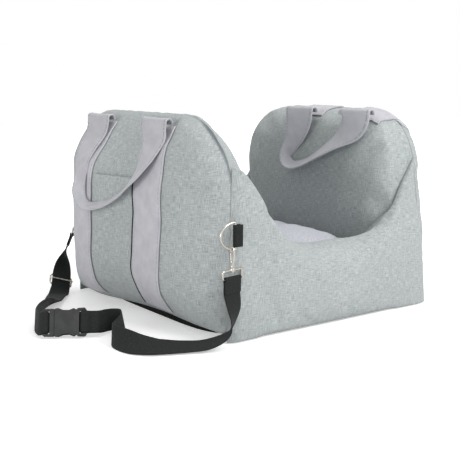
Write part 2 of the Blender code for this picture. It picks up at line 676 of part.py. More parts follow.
def fold_handle(name, sign, middle_y, spacing, axis_z, drop, parent):
    """A carry handle that hangs from two folds, flat to the wall at its arms and turned over at its grip."""
    far = handle_half(spacing / 2, axis_z, drop, sign)
    near = [(x, -y, z, across, -along, tilt, width)
            for x, y, z, across, along, tilt, width in reversed(far[:-1])]
    rows = smooth_curve(far + near, 0.009)
    fallen = np.clip((axis_z - FOLD_LENGTH - rows[:, 2]) / (drop - FOLD_LENGTH), 0.0, 1.0)
    drawn = HANDLE_LEAN * fallen ** 2 * (3 - 2 * fallen)
    centres = [(x, y + middle_y + along, z) for (x, y, z), along in zip(rows[:, :3], drawn)]
    strap = ribbon(name, centres, rows[:, 3:6], rows[:, 6], [HANDLE_THICKNESS] * len(rows))
    return finish(strap, name, "lilac_cloth", parent)


def empty(name, location, parent=None):
    """An empty that marks a joint's axis."""
    obj = bpy.data.objects.new(name, None)
    bpy.context.scene.collection.objects.link(obj)
    obj.location = location
    if parent:
        obj.parent = parent
        obj.matrix_parent_inverse = parent.matrix_world.inverted()
    bpy.context.view_layer.update()
    return obj


def tab_thickness():
    """Thickness of a ring tab's fold, from its back to its front."""
    return 2 * (WIRE_RADIUS + RUNNING_GAP + WEB_THICKNESS)


def ring_bar(sign):
    """Centre of a ring's straight bar; sign is -1 for the near side and 1 for the far one."""
    stand = HALF_DEPTH + 2 * GAP + TAB_PACK + tab_thickness() / 2
    return Vector((-(HALF_LENGTH - RING_INSET_X), sign * stand, NEAR_RING_Z if sign < 0 else FAR_RING_Z))


def ring_path(bar):
    """Closed path of a D-ring: its straight bar upright and its bow towards -X."""
    points = [bar + Vector((0, 0, z)) for z in (-0.6 * RING_HALF_HEIGHT, 0.0, 0.6 * RING_HALF_HEIGHT)]
    steps = 20
    for k in range(steps + 1):
        angle = math.pi * k / steps
        bow = Vector((-RING_DEPTH * math.sin(angle), 0, RING_HALF_HEIGHT * math.cos(angle)))
        points.append(bar + bow)
    return points


def ring_tab(side, sign):
    """The webbing tab sewn on a low side, folded round the ring's bar."""
    bar = ring_bar(sign)
    outer = tab_thickness() / 2
    half = WEB_WIDTH / 2 - 0.0008
    fold = cylinder(f"{side}_ring_tab", bar - Vector((0, 0, half)), bar + Vector((0, 0, half)), outer, 20)
    back = bar.y - sign * (outer + TAB_PACK)
    front = bar.y
    tail = block(f"{side}_tab_tail", (bar.x, min(back, front), bar.z - half),
                 (bar.x + TAB_TAIL, max(back, front), bar.z + half))
    boolean(fold, tail, "UNION")
    bore = cylinder(f"{side}_tab_bore", bar - Vector((0, 0, WEB_WIDTH)), bar + Vector((0, 0, WEB_WIDTH)),
                    WIRE_RADIUS + RUNNING_GAP, 20)
    boolean(fold, bore, "DIFFERENCE")
    finish(fold, f"{side}_ring_tab", "webbing")


def placed(points, origin, across, stem, jaw):
    """Points given as (across, jaw, down) moved to a hook's own axes."""
    return [origin + across * p[0] + jaw * p[1] + stem * p[2] for p in points]


def snap_hook(side, origin, across, stem, jaw, loop_turn, body_parent, loop_parent):
    """A snap hook on a ring: body, sprung gate, and the webbing loop that swivels below it."""
    crown = HOOK_RADIUS + WIRE_RADIUS + GAP
    path = [(-HOOK_JAW, HOOK_NOSE), (-HOOK_JAW * 0.96, 0.0005), (-HOOK_JAW * 0.62, -crown * 0.72),
            (0.0, -crown),
            (HOOK_JAW * 0.62, -crown * 0.72), (HOOK_JAW * 0.96, 0.0005), (HOOK_JAW * 1.05, 0.008),
            (HOOK_JAW, 0.0150), (HOOK_JAW * 0.55, 0.021), (0.0, 0.0250), (0.0, HOOK_LENGTH - 0.001)]
    radii = [HOOK_RADIUS] * len(path)
    neck_end = HOOK_LENGTH + NECK_LENGTH
    for down, radius in ((HOOK_LENGTH, NECK_RADIUS), (neck_end, NECK_RADIUS), (neck_end, HEAD_RADIUS),
                         (neck_end + 0.002, HEAD_RADIUS)):
        path.append((0.0, down))
        radii.append(radius)
    path[-2] = (0.0, neck_end + 0.0002)
    points = placed([(0.0, u, down) for u, down in path], origin, across, stem, jaw)
    finish(tube(f"{side}_hook_body", points, radii, 8), f"{side}_hook_body", "nickel", body_parent)

    pivot = (0.0, -0.0021, 0.0222)
    tip = (0.0, -HOOK_JAW, HOOK_NOSE + 2 * GAP)
    gate_parent = empty(f"{side}_gate_axis", placed([pivot], origin, across, stem, jaw)[0], body_parent)
    gate = tube(f"{side}_hook_gate", placed([pivot, tip], origin, across, stem, jaw), [GATE_RADIUS] * 2, 8)
    finish(gate, f"{side}_hook_gate", "nickel", gate_parent)

    turn = Matrix.Rotation(math.radians(loop_turn), 3, -stem)
    wide, thin = turn @ across, turn @ jaw
    top = HOOK_LENGTH + NECK_LENGTH / 2
    foot = top + LOOP_HEIGHT
    half = WEB_WIDTH / 2 + LOOP_SIDE_GAP + LOOP_WIRE
    corner = 0.002
    frame_path = [(-half + corner, 0, top), (half - corner, 0, top), (half, 0, top + corner),
                  (half, 0, foot - corner),
                  (half - corner, 0, foot), (-half + corner, 0, foot), (-half, 0, foot - corner),
                  (-half, 0, top + corner)]
    frame_path = placed(frame_path, origin, wide, stem, thin)
    loop = tube(f"{side}_hook_loop", frame_path, [LOOP_WIRE] * 8, 8, closed=True)
    centre = origin + stem * top
    collar_half = NECK_LENGTH / 2 - GAP
    collar = cylinder(f"{side}_loop_collar", centre - stem * collar_half, centre + stem * collar_half,
                      COLLAR_SIZE / 2, 12)
    boolean(loop, collar, "UNION")
    bore = cylinder(f"{side}_loop_bore", centre - stem * NECK_LENGTH, centre + stem * NECK_LENGTH,
                    NECK_RADIUS + RUNNING_GAP, 16)
    boolean(loop, bore, "DIFFERENCE")
    finish(loop, f"{side}_hook_loop", "nickel", loop_parent)
    return origin + stem * foot, wide, stem


def webbing_eye(name, bar, across, down, tail, bore_radius):
    """The end of the webbing folded round a bar and sewn: a sleeve with a doubled tail."""
    outer = bore_radius + WEB_THICKNESS
    half = across * (WEB_WIDTH / 2)
    sleeve = cylinder(name, bar - half, bar + half, outer, 16)
    normal = across.cross(down)
    corners = []
    for side_shift in (-1, 1):
        for thick in (-1, 1):
            for length in (0.0, tail):
                corners.append(bar + half * (side_shift * 0.99) + normal * (thick * WEB_THICKNESS)
                               + down * length)
    faces = [(0, 1, 3, 2), (4, 6, 7, 5), (0, 4, 5, 1), (2, 3, 7, 6), (0, 2, 6, 4), (1, 5, 7, 3)]
    boolean(sleeve, mesh_object(name + "_tail", corners, faces), "UNION")
    bore = cylinder(name + "_bore", bar - half * 1.2, bar + half * 1.2, bore_radius, 16)
    boolean(sleeve, bore, "DIFFERENCE")
    return sleeve


def route_ribbon(name, route, thickness_of):
    """A strap along one of the routes, on the floor or above it."""
    rows = smooth_curve([p + w for p, w in route], ROUTE_STEP)
    count = len(rows)
    thicknesses = [thickness_of(i / (count - 1)) for i in range(count)]
    widths = [WEB_WIDTH] * count
    return ribbon(name, [r[:3] for r in rows], [r[3:] for r in rows], widths, thicknesses, FLOOR_GAP)


def buckle_axes():
    """The buckle's own axes: along it, across its width to its foot, and out of its face; and its centre."""
    heading = math.radians(BUCKLE_HEADING)
    lean = math.radians(BUCKLE_LEAN)
    along = Vector((math.cos(heading), math.sin(heading), 0))
    outward = Vector((-math.sin(heading), math.cos(heading), 0))
    foot = outward * math.sin(lean) + Vector((0, 0, -math.cos(lean)))
    face = outward * math.cos(lean) + Vector((0, 0, math.sin(lean)))
    reach = BUCKLE_WIDTH / 2 * math.cos(lean) + BUCKLE_THICKNESS / 2 * math.sin(lean)
    return along, foot, face, Vector((*BUCKLE_CENTRE, reach + FLOOR_GAP))


def seat_in_buckle(obj):
    """Turn an object modelled along X with its width along Y into the buckle's place."""
    along, foot, face, centre = buckle_axes()
    matrix = Matrix((along, foot, along.cross(foot))).transposed().to_4x4()
    matrix.translation = centre
    for piece in [obj] + [mod.object for mod in obj.modifiers if mod.type == "BOOLEAN"]:
        piece.matrix_world = matrix
    return obj


def waisted_plate(name, stations, thickness, bevel):
    """A plate along X whose half-width changes from station to station."""
    upper = [(x, half) for x, half in stations]
    outline = upper + [(x, -half) for x, half in reversed(stations)]
    rings = [[(x, y, z) for x, y in outline] for z in (-thickness / 2, thickness / 2)]
    plate = loft(name, rings)
    mod = plate.modifiers.new("bevel", "BEVEL")
    mod.width = bevel
    mod.segments = 2
    mod.limit_method = "ANGLE"
    mod.angle_limit = math.radians(60)
    return plate


def buckle_female(parent):
    """The socket half: a hollow body with side windows, and a slotted end with the webbing's bar."""
    half = BUCKLE_WIDTH / 2
    front = BUCKLE_BODY / 2
    tail = -front - BUCKLE_BAR_END
    stations = [(front, half - 0.001), (front - 0.006, half), (0.004, half - 0.0032), (-0.006, half - 0.0036),
                (-front + 0.004, half - 0.0005), (-front, half - 0.003), (-front - 0.003, half - 0.0005),
                (tail + 0.003, half), (tail, half - 0.003)]
    body = waisted_plate("buckle_female", stations, BUCKLE_THICKNESS, 0.0012)
    room_half = half - BUCKLE_SIDE_WALL
    room = block("buckle_room", (-front + 0.004, -room_half, -BUCKLE_THICKNESS / 2 + BUCKLE_WALL),
                 (front + 0.01, room_half, BUCKLE_THICKNESS / 2 - BUCKLE_WALL))
    boolean(body, room, "DIFFERENCE")
    window = block("buckle_windows", (-0.010, -half - 0.01, -BUCKLE_THICKNESS / 2 + BUCKLE_WALL + 0.0003),
                   (0.007, half + 0.01, BUCKLE_THICKNESS / 2 - BUCKLE_WALL - 0.0003))
    boolean(body, window, "DIFFERENCE")
    slot_start = tail + BUCKLE_BAR
    for z in (-1, 1):
        edges = sorted((z * BUCKLE_BAR / 2, z * BUCKLE_THICKNESS))
        relief = block(f"buckle_relief_{z}", (tail - BUCKLE_BAR, -WEB_WIDTH / 2 - 0.001, edges[0]),
                       (slot_start + BUCKLE_SLOT, WEB_WIDTH / 2 + 0.001, edges[1]))
        boolean(body, relief, "DIFFERENCE")
    slot = block("buckle_slot", (slot_start, -WEB_WIDTH / 2 - 0.001, -0.02),
                 (slot_start + BUCKLE_SLOT, WEB_WIDTH / 2 + 0.001, 0.02))
    boolean(body, slot, "DIFFERENCE")
    seat_in_buckle(body)
    return finish(body, "buckle_female", "black_plastic", parent)


def buckle_male(parent):
    """The plug half: a slotted end, a middle tongue, and two sprung prongs in nodes of their own."""
    half = BUCKLE_WIDTH / 2
    start = BUCKLE_BODY / 2 + GAP
    end = start + MALE_END
    stations = [(start, half - 0.001), (start + 0.004, half - 0.0005), (end - 0.003, half - 0.0008),
                (end, half - 0.003)]
    body = waisted_plate("buckle_male", stations, MALE_THICKNESS, 0.0012)
    slot_end = end - BUCKLE_BAR
    for z in (-1, 1):
        edges = sorted((z * BUCKLE_BAR / 2, z * BUCKLE_THICKNESS))
        relief = block(f"male_relief_{z}", (slot_end - BUCKLE_SLOT, -WEB_WIDTH / 2 - 0.001, edges[0]),
                       (end + BUCKLE_BAR, WEB_WIDTH / 2 + 0.001, edges[1]))
        boolean(body, relief, "DIFFERENCE")
    slot = block("male_slot", (slot_end - BUCKLE_SLOT, -WEB_WIDTH / 2 - 0.001, -0.02),
                 (slot_end, WEB_WIDTH / 2 + 0.001, 0.02))
    boolean(body, slot, "DIFFERENCE")
    room_half_z = BUCKLE_THICKNESS / 2 - BUCKLE_WALL - RUNNING_GAP
    tongue = block("male_tongue", (start - 0.026, -TONGUE_WIDTH / 2, -room_half_z),
                   (start + 0.003, TONGUE_WIDTH / 2, room_half_z))
    boolean(body, tongue, "UNION")
    seat_in_buckle(body)
    finish(body, "buckle_male", "black_plastic", parent)
    along, foot, _, centre = buckle_axes()
    outer = half - BUCKLE_SIDE_WALL - RUNNING_GAP
    for label, side in (("upper", -1), ("lower", 1)):
        inner_edge = outer - PRONG_HEAD - PRONG_WIDTH
        outline = [(start - GAP, inner_edge), (start - GAP, inner_edge + PRONG_WIDTH),
                   (start - 0.012, inner_edge + PRONG_WIDTH), (start - 0.013, outer), (start - 0.020, outer),
                   (start - PRONG_LENGTH, inner_edge + PRONG_WIDTH), (start - PRONG_LENGTH, inner_edge)]
        rings = [[(x, side * y, z) for x, y in outline] for z in (-room_half_z, room_half_z)]
        root = centre + along * start + foot * (side * (inner_edge + PRONG_WIDTH / 2))
        axis = empty(f"{label}_prong_axis", root, parent)
        prong = loft(f"buckle_prong_{label}", rings)
        seat_in_buckle(prong)
        finish(prong, f"buckle_prong_{label}", "black_plastic", axis)


def strap_glide(route, parent):
    """The adjuster: a wire frame over the webbing with its middle bar behind it."""
    rows = smooth_curve([p + w for p, w in route], ROUTE_STEP)
    place = min(range(len(rows)), key=lambda i: (Vector(rows[i][:3]) - Vector(GLIDE_PLACE)).length)
    centre = Vector(rows[place][:3])
    down = (Vector(rows[place + 1][:3]) - Vector(rows[place - 1][:3])).normalized()
    guide = Vector(rows[place][3:])
    across = (guide - down * guide.dot(down)).normalized()
    out = across.cross(down)
    half = WEB_WIDTH / 2 + GLIDE_SIDE_GAP + GLIDE_WIRE
    lift = WEB_THICKNESS + GLIDE_PLAY + GLIDE_WIRE
    long_half = GLIDE_HEIGHT / 2 - GLIDE_WIRE
    corner = 0.003
    outline = [(-half + corner, -long_half), (half - corner, -long_half), (half, -long_half + corner),
               (half, long_half - corner), (half - corner, long_half), (-half + corner, long_half),
               (-half, long_half - corner), (-half, -long_half + corner)]
    front = [centre + across * u + down * v + out * lift for u, v in outline]
    glide = tube("strap_glide", front, [GLIDE_WIRE] * len(front), 8, closed=True)
    corners = ((-half, lift), (-half, -lift), (half, -lift), (half, lift))
    bar = [centre + across * u + out * w for u, w in corners]
    boolean(glide, tube("glide_bar", bar, [GLIDE_WIRE] * 4, 8), "UNION")
    return finish(glide, "strap_glide", "nickel", parent)


def tether():
    """Rings, hooks, webbing, buckle and adjuster, each on the piece that carries it."""
    for side, sign in (("near", -1), ("far", 1)):
        ring_tab(side, sign)
    near_bar, far_bar = ring_bar(-1), ring_bar(1)
    near_ring = empty("near_ring_axis", near_bar)
    far_ring = empty("far_ring_axis", far_bar)
    for side, bar, axis in (("near", near_bar, near_ring), ("far", far_bar, far_ring)):
        path = ring_path(bar)
        ring = tube(f"{side}_d_ring", path, [WIRE_RADIUS] * len(path), 8, closed=True)
        finish(ring, f"{side}_d_ring", "nickel", axis)

    angle = math.asin(NEAR_HOOK_INSET / RING_DEPTH)
    near_origin = near_bar + Vector((-NEAR_HOOK_INSET, 0, -RING_HALF_HEIGHT * math.cos(angle)))
    down = Vector((0, 0, -1))
    near_loop = empty("near_loop_axis", near_origin, near_ring)
    bar, across, stem = snap_hook("near", near_origin, Vector((1, 0, 0)), down, Vector((0, -1, 0)),
                                  NEAR_LOOP_TURN, near_ring, near_loop)
    along, foot, face, centre = buckle_axes()
    socket_bar = centre - along * (BUCKLE_BODY / 2 + BUCKLE_BAR_END - BUCKLE_BAR / 2)
    ends = [((socket_bar - along * d)[:], foot[:]) for d in (EYE_TAIL, EYE_TAIL - 0.008)]
    route = (((bar + stem * (EYE_TAIL - 0.006))[:], across[:]),) + NEAR_ROUTE + tuple(ends)
    strap = webbing_eye("near_webbing", bar, across, stem, EYE_TAIL, LOOP_WIRE + RUNNING_GAP)
    run = route_ribbon("near_webbing_run", route, lambda share: WEB_THICKNESS)
    boolean(strap, run, "UNION")
    boolean(strap, webbing_eye("near_buckle_eye", socket_bar, foot, -along, EYE_TAIL, BAR_BORE), "UNION")
    finish(strap, "near_webbing", "webbing", near_loop)
    buckle_female(near_loop)

    male = empty("buckle_slide_axis", centre, near_loop)
    buckle_male(male)

    angle = math.radians(FAR_RING_ANGLE)
    far_origin = far_bar + Vector((-RING_DEPTH * math.sin(angle), 0, -RING_HALF_HEIGHT * math.cos(angle)))
    lean = math.radians(FAR_HOOK_LEAN)
    stem = Vector((-math.sin(lean), 0, -math.cos(lean)))
    across = Vector((math.cos(lean), 0, -math.sin(lean)))
    far_loop = empty("far_loop_axis", far_origin, far_ring)
    bar, across, stem = snap_hook("far", far_origin, across, stem, Vector((0, 1, 0)), FAR_LOOP_TURN,
                                  far_ring, far_loop)
    sewn_end = webbing_eye("far_webbing_end", bar, across, stem, EYE_TAIL, LOOP_WIRE + RUNNING_GAP)
    finish(sewn_end, "far_webbing_end", "webbing", far_loop)
    start = bar + stem * (EYE_TAIL + OPEN_GAP)
    plug_bar = centre + along * (BUCKLE_BODY / 2 + GAP + MALE_END - BUCKLE_BAR / 2)
    turn = math.radians(PLUG_EYE_TURN)
    away = along * math.cos(turn) - face * math.sin(turn)
    ends = [((plug_bar + away * d)[:], (-foot)[:]) for d in (PLUG_EYE_TAIL + 0.002, PLUG_EYE_TAIL - 0.005)]
    route = ((start[:], across[:]), ((start + stem * 0.008)[:], across[:])) + FAR_ROUTE + tuple(ends)
    strap = webbing_eye("far_webbing", plug_bar, foot, away, PLUG_EYE_TAIL, BAR_BORE)
    run = route_ribbon("far_webbing_run", route, lambda share: WEB_THICKNESS * (2.0 if share > 0.35 else 1.0))
    boolean(strap, run, "UNION")
    finish(strap, "far_webbing", "webbing", male)
    strap_glide(route, male)


def main():
    """Build the whole bed."""
    for obj in list(bpy.data.objects):
        bpy.data.objects.remove(obj, do_unlink=True)
    base()
    for side, sign in (("left", -1), ("right", 1)):
        tall_wall(side, sign)
    for side, sign in (("near", -1), ("far", 1)):
        low_side(side, sign)
    seat_cushion(empty("cushion_axis", (0, 0, 0)))
    for label, end in (("near", -0.5), ("far", 0.5)):
        left_y, right_y = LEFT_MIDDLE_Y + end * LEFT_SPACING, RIGHT_MIDDLE_Y + end * RIGHT_SPACING
        wall_band(f"left_{label}_band", -1, left_y, WALL_OUTER_SEAM, LEFT_BAND_TOP_Z)
        wall_band(f"right_{label}_band", 1, right_y, RIGHT_BAND_END_X, HEIGHT + WALL_OUTER_HALF)
    pocket()
    for side, sign, middle_y, spacing, axis_z, drop in (
            ("left", -1, LEFT_MIDDLE_Y, LEFT_SPACING, LEFT_FOLD_Z, LEFT_HANDLE_DROP),
            ("right", 1, RIGHT_MIDDLE_Y, RIGHT_SPACING, RIGHT_FOLD_Z, RIGHT_HANDLE_DROP)):
        axis = empty(f"{side}_handle_axis", (fold_seat(axis_z, sign)[0], 0, axis_z))
        fold_handle(f"{side}_handle", sign, middle_y, spacing, axis_z, drop, axis)
    tether()


main()
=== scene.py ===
"""Pet car seat bed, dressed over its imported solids.

Metres, +Z up, in the frame of the solids: -X is the wall with the pocket, +X the other tall wall,
-Y the near low side, +Y the far one. The bed stands on z = 0.
"""
import math

import bmesh
import bpy
import numpy as np
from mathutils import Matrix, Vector


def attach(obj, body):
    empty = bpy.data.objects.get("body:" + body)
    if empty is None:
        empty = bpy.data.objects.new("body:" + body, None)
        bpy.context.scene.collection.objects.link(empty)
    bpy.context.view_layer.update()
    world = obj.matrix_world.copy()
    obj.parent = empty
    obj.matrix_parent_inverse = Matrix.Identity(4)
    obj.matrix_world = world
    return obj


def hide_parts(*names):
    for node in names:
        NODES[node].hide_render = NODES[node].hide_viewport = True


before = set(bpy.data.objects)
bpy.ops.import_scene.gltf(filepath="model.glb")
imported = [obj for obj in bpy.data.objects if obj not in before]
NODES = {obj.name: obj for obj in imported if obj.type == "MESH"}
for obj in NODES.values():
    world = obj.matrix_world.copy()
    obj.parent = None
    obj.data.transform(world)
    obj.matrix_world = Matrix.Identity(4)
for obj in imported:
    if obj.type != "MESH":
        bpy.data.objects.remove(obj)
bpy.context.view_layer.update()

# Sizes of the solids that the dressing sits on
HALF_LENGTH = 0.232
HALF_DEPTH = 0.250
HEIGHT = 0.372
WALL_END = 0.2398
WALL_FOOT, FOOT_RADIUS = 0.0130, 0.018
WALL_TOP_RADIUS = 0.115
PANEL_TOP = HEIGHT - 0.003
SIDE_REACH = 0.2305
RIM_LOW = 0.143
LEFT_MIDDLE, RIGHT_MIDDLE = 0.022, -0.068
LEFT_HALF, RIGHT_HALF = 0.099, 0.080
BAND_WIDTH = 0.085
BAND_FOOT = 0.031
POCKET_FOOT, POCKET_TOP = 0.060, 0.258
BAND_CLOTH, POCKET_CLOTH, GRIP_CLOTH = 0.0022, 0.0016, 0.0034
WEB_WIDTH, WEB_THICKNESS = 0.038, 0.0018
WHITE = (1, 1, 1, 1)


# Arrays and meshes

def ease(t):
    """0 below 0, 1 above 1, and the smooth cubic 3t^2 - 2t^3 between."""
    t = np.clip(t, 0.0, 1.0)
    return t * t * (3 - 2 * t)


def unit(v):
    """Vectors along the last axis, each divided by its length."""
    return v / np.maximum(np.linalg.norm(v, axis=-1, keepdims=True), 1e-12)


def crowded(count, share):
    """Numbers from -1 to 1 that lie closer together toward both ends: a sine over a share of half a turn."""
    return np.sin(np.linspace(-1, 1, count) * share * math.pi) / math.sin(share * math.pi)


def ripple(a, lengths, seed):
    """Sum of sines of a with the given wavelengths and fixed phases, divided by their number."""
    phases = np.random.default_rng(seed).uniform(0, 2 * math.pi, len(lengths))
    return sum(np.sin(2 * math.pi * a / w + p) for w, p in zip(lengths, phases)) / len(lengths)


def part(points, rows_at, cols_at, close_rows=False, close_cols=False, flip=False):
    """A grid of points as vertices, quads and UV corners.

    rows_at and cols_at give the UV in metres: one value for each row or column, or one for each point.
    """
    rows, cols = points.shape[:2]
    a, b = np.meshgrid(np.arange(rows - (not close_rows)), np.arange(cols - (not close_cols)), indexing="ij")
    c, d = (a + 1) % rows, (b + 1) % cols
    quads = np.stack([a * cols + b, a * cols + d, c * cols + d, c * cols + b], -1).reshape(-1, 4)
    size = (rows + close_rows, cols + close_cols)
    rows_at, cols_at = np.asarray(rows_at, float), np.asarray(cols_at, float)
    v = np.broadcast_to(rows_at if rows_at.ndim == 2 else rows_at[:, None], size)
    u = np.broadcast_to(cols_at, size)
    u, v = (np.stack([w[a, b], w[a, b + 1], w[a + 1, b + 1], w[a + 1, b]], -1) for w in (u, v))
    uvs = np.stack([u, v], -1).reshape(-1, 4, 2)
    if flip:
        quads, uvs = quads[:, ::-1], uvs[:, ::-1]
    return points.reshape(-1, 3), quads, uvs


def link(name, data):
    """A new object in the scene for a mesh, a camera or a lamp."""
    obj = bpy.data.objects.new(name, data)
    bpy.context.scene.collection.objects.link(obj)
    return obj


def points_of(mesh):
    """A mesh's points, a row for each."""
    co = np.empty(len(mesh.vertices) * 3, np.float32)
    mesh.vertices.foreach_get("co", co)
    return co.reshape(-1, 3)


def build(name, parts, marks=None, weld=2e-5):
    """One mesh of several parts, welded where they meet; marks are values for each vertex by name."""
    starts = np.cumsum([0] + [len(p[0]) for p in parts])
    verts = np.concatenate([p[0] for p in parts])
    quads = np.concatenate([p[1] + s for p, s in zip(parts, starts)])
    uvs = np.concatenate([p[2] for p in parts])
    mesh = bpy.data.meshes.new(name)
    mesh.vertices.add(len(verts))
    mesh.vertices.foreach_set("co", verts.astype(np.float32).ravel())
    mesh.loops.add(quads.size)
    mesh.loops.foreach_set("vertex_index", quads.astype(np.int32).ravel())
    mesh.polygons.add(len(quads))
    mesh.polygons.foreach_set("loop_start", np.arange(0, quads.size, 4, dtype=np.int32))
    mesh.polygons.foreach_set("loop_total", np.full(len(quads), 4, dtype=np.int32))
    mesh.uv_layers.new(name="cloth").data.foreach_set("uv", uvs.astype(np.float32).ravel())
    for key, values in (marks or {}).items():
        mesh.attributes.new(key, "FLOAT", "POINT").data.foreach_set("value", np.asarray(values, np.float32).ravel())
    mesh.update(calc_edges=True)
    work = bmesh.new()
    work.from_mesh(mesh)
    bmesh.ops.remove_doubles(work, verts=work.verts, dist=weld)
    bmesh.ops.recalc_face_normals(work, faces=work.faces)
    work.to_mesh(mesh)
    work.free()
    mesh.shade_smooth()
    return link(name, mesh)


def settle(obj):
    """Apply an object's modifiers to its mesh."""
    evaluated = obj.evaluated_get(bpy.context.evaluated_depsgraph_get())
    mesh = bpy.data.meshes.new_from_object(evaluated)
    obj.modifiers.clear()
    old, obj.data = obj.data, mesh
    bpy.data.meshes.remove(old)
    mesh.name = obj.name
    mesh.shade_smooth()
    return obj


def subdivide(obj):
    """Finish a piece with one level of a subdivision surface."""
    mod = obj.modifiers.new("Fine", "SUBSURF")
    mod.levels = mod.render_levels = 1
    settle(obj)


def dress(obj, material, body, slot, *nodes):
    """Give a piece its material and body, and hide the nodes that it stands for; slot is not used."""
    obj.data.materials.clear()
    obj.data.materials.append(material)
    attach(obj, body)
    if nodes:
        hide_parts(*nodes)


def curve_through(points, step):
    """Points about a step apart on a Catmull-Rom curve through rows of numbers."""
    rows = np.asarray(points, float)
    rows = np.vstack([2 * rows[0] - rows[1], rows, 2 * rows[-1] - rows[-2]])
    out = []
    for before, a, b, after in zip(rows[:-3], rows[1:-2], rows[2:-1], rows[3:]):
        count = max(1, round(float(np.linalg.norm(b[:3] - a[:3])) / step))
        t = (np.arange(count) / count)[:, None]
        out.append(0.5 * (2 * a + (b - before) * t + (2 * before - 5 * a + 4 * b - after) * t * t
                          + (3 * a - 3 * b + after - before) * t ** 3))
    return np.vstack(out + [rows[-2:-1]])


def along(points):
    """Length along a row of points, from its start to each point."""
    return np.concatenate([[0.0], np.cumsum(np.linalg.norm(np.diff(points, axis=0), axis=1))])


def spread(grid, axis):
    """Length along each line of a grid of points, in the direction of the axis."""
    steps = np.linalg.norm(np.diff(grid, axis=axis), axis=-1)
    return np.insert(np.cumsum(steps, axis=axis), 0, 0.0, axis=axis)


def tangents(points, closed=False):
    """Direction of travel at each point of a path."""
    if closed:
        return unit(np.roll(points, -1, axis=0) - np.roll(points, 1, axis=0))
    return unit(np.gradient(points, axis=0))


def capped(grid, points):
    """Close a tube's ends: one more ring at each, drawn together on the end of its path."""
    count = grid.shape[1]
    return np.concatenate([points[:1, None].repeat(count, 1), grid, points[-1:, None].repeat(count, 1)])


def wire(name, points, radii, sides=16, closed=False, guide=None):
    """A round wire along a path: a circle of the given radius, carried square to the path."""
    points = np.asarray(points, float)
    radii = np.broadcast_to(np.asarray(radii, float), len(points))
    heading = tangents(points, closed)
    start = np.asarray(guide, float) if guide is not None else np.array(Vector(heading[0]).orthogonal())
    side = []
    for t in heading:
        start = unit(start - t * float(start @ t))
        side.append(start)
    side = np.array(side)
    other = np.cross(heading, side)
    turn = np.linspace(0, 2 * math.pi, sides, endpoint=False)[:, None]
    ring = side[:, None] * np.cos(turn) + other[:, None] * np.sin(turn)
    grid = points[:, None] + ring * radii[:, None, None]
    if closed:
        travel = along(np.concatenate([points, points[:1]]))
    else:
        grid = capped(grid, points)
        travel = along(np.concatenate([points[:1], points, points[-1:]]))
    return build(name, [part(grid, travel, np.arange(sides + 1) * 0.001, close_rows=closed, close_cols=True)],
                 weld=1e-7)


def carried(points, guides):
    """Directions of a strap at each point: across it, along its guides but square to its path, and off its face."""
    heading = tangents(points)
    across = unit(guides - heading * np.sum(guides * heading, axis=1, keepdims=True))
    return across, np.cross(heading, across)


def strap(name, centres, guides, width, thickness, camber=0.0, cells=14):
    """A flat strap: a rounded oblong section carried along a path, its width lying along the guides.

    Across the strap the section's half thickness is t (1 - |u|^8)^(1/4), so its two edges are rounded.
    """
    width, thickness = (np.broadcast_to(np.asarray(a, float), len(centres)) for a in (width, thickness))
    across, normal = carried(centres, guides)
    u = -np.cos(np.linspace(0, math.pi, cells + 1))
    u = 0.6 * u + 0.4 * np.linspace(-1, 1, cells + 1)
    half = (1 - np.abs(u) ** 8) ** 0.25
    ring_u = np.concatenate([u, u[-2:0:-1]])
    ring_n = np.concatenate([half, -half[-2:0:-1]])
    bow = camber * (1 - ring_u ** 2)
    grid = (centres[:, None] + across[:, None] * (ring_u[:, None] * width[:, None, None] / 2)
            + normal[:, None] * (ring_n[:, None] * thickness[:, None, None] / 2 + bow[:, None]))
    travel = along(centres)
    travel = np.concatenate([travel[:1], travel, travel[-1:]])
    cols = np.append(ring_u, ring_u[0]) * float(np.median(width)) / 2
    return build(name, [part(capped(grid, centres), travel, cols, close_cols=True)], weld=1e-6)


# Materials

def linear(code):
    """Linear RGBA of an sRGB hex colour."""
    channels = [int(code[i:i + 2], 16) / 255 for i in (0, 2, 4)]
    return [c / 12.92 if c <= 0.04045 else ((c + 0.055) / 1.055) ** 2.4 for c in channels] + [1.0]


def fill(tree, node, inputs):
    """Set a node's inputs to values, or link them: a socket by itself, a node by its first output."""
    for key, value in inputs.items():
        if isinstance(value, bpy.types.Node):
            value = value.outputs[0]
        if isinstance(value, bpy.types.NodeSocket):
            tree.links.new(value, node.inputs[key])
        else:
            node.inputs[key].default_value = value


def add(tree, kind, inputs=None, **settings):
    """Add a shader node, set its properties, and fill its inputs."""
    made = tree.nodes.new("ShaderNode" + kind)
    for key, value in settings.items():
        setattr(made, key, value)
    fill(tree, made, inputs or {})
    return made


def blank(name):
    """A new material's tree with its shader."""
    material = bpy.data.materials.new(name)
    material.use_nodes = True
    return material, material.node_tree, material.node_tree.nodes["Principled BSDF"]


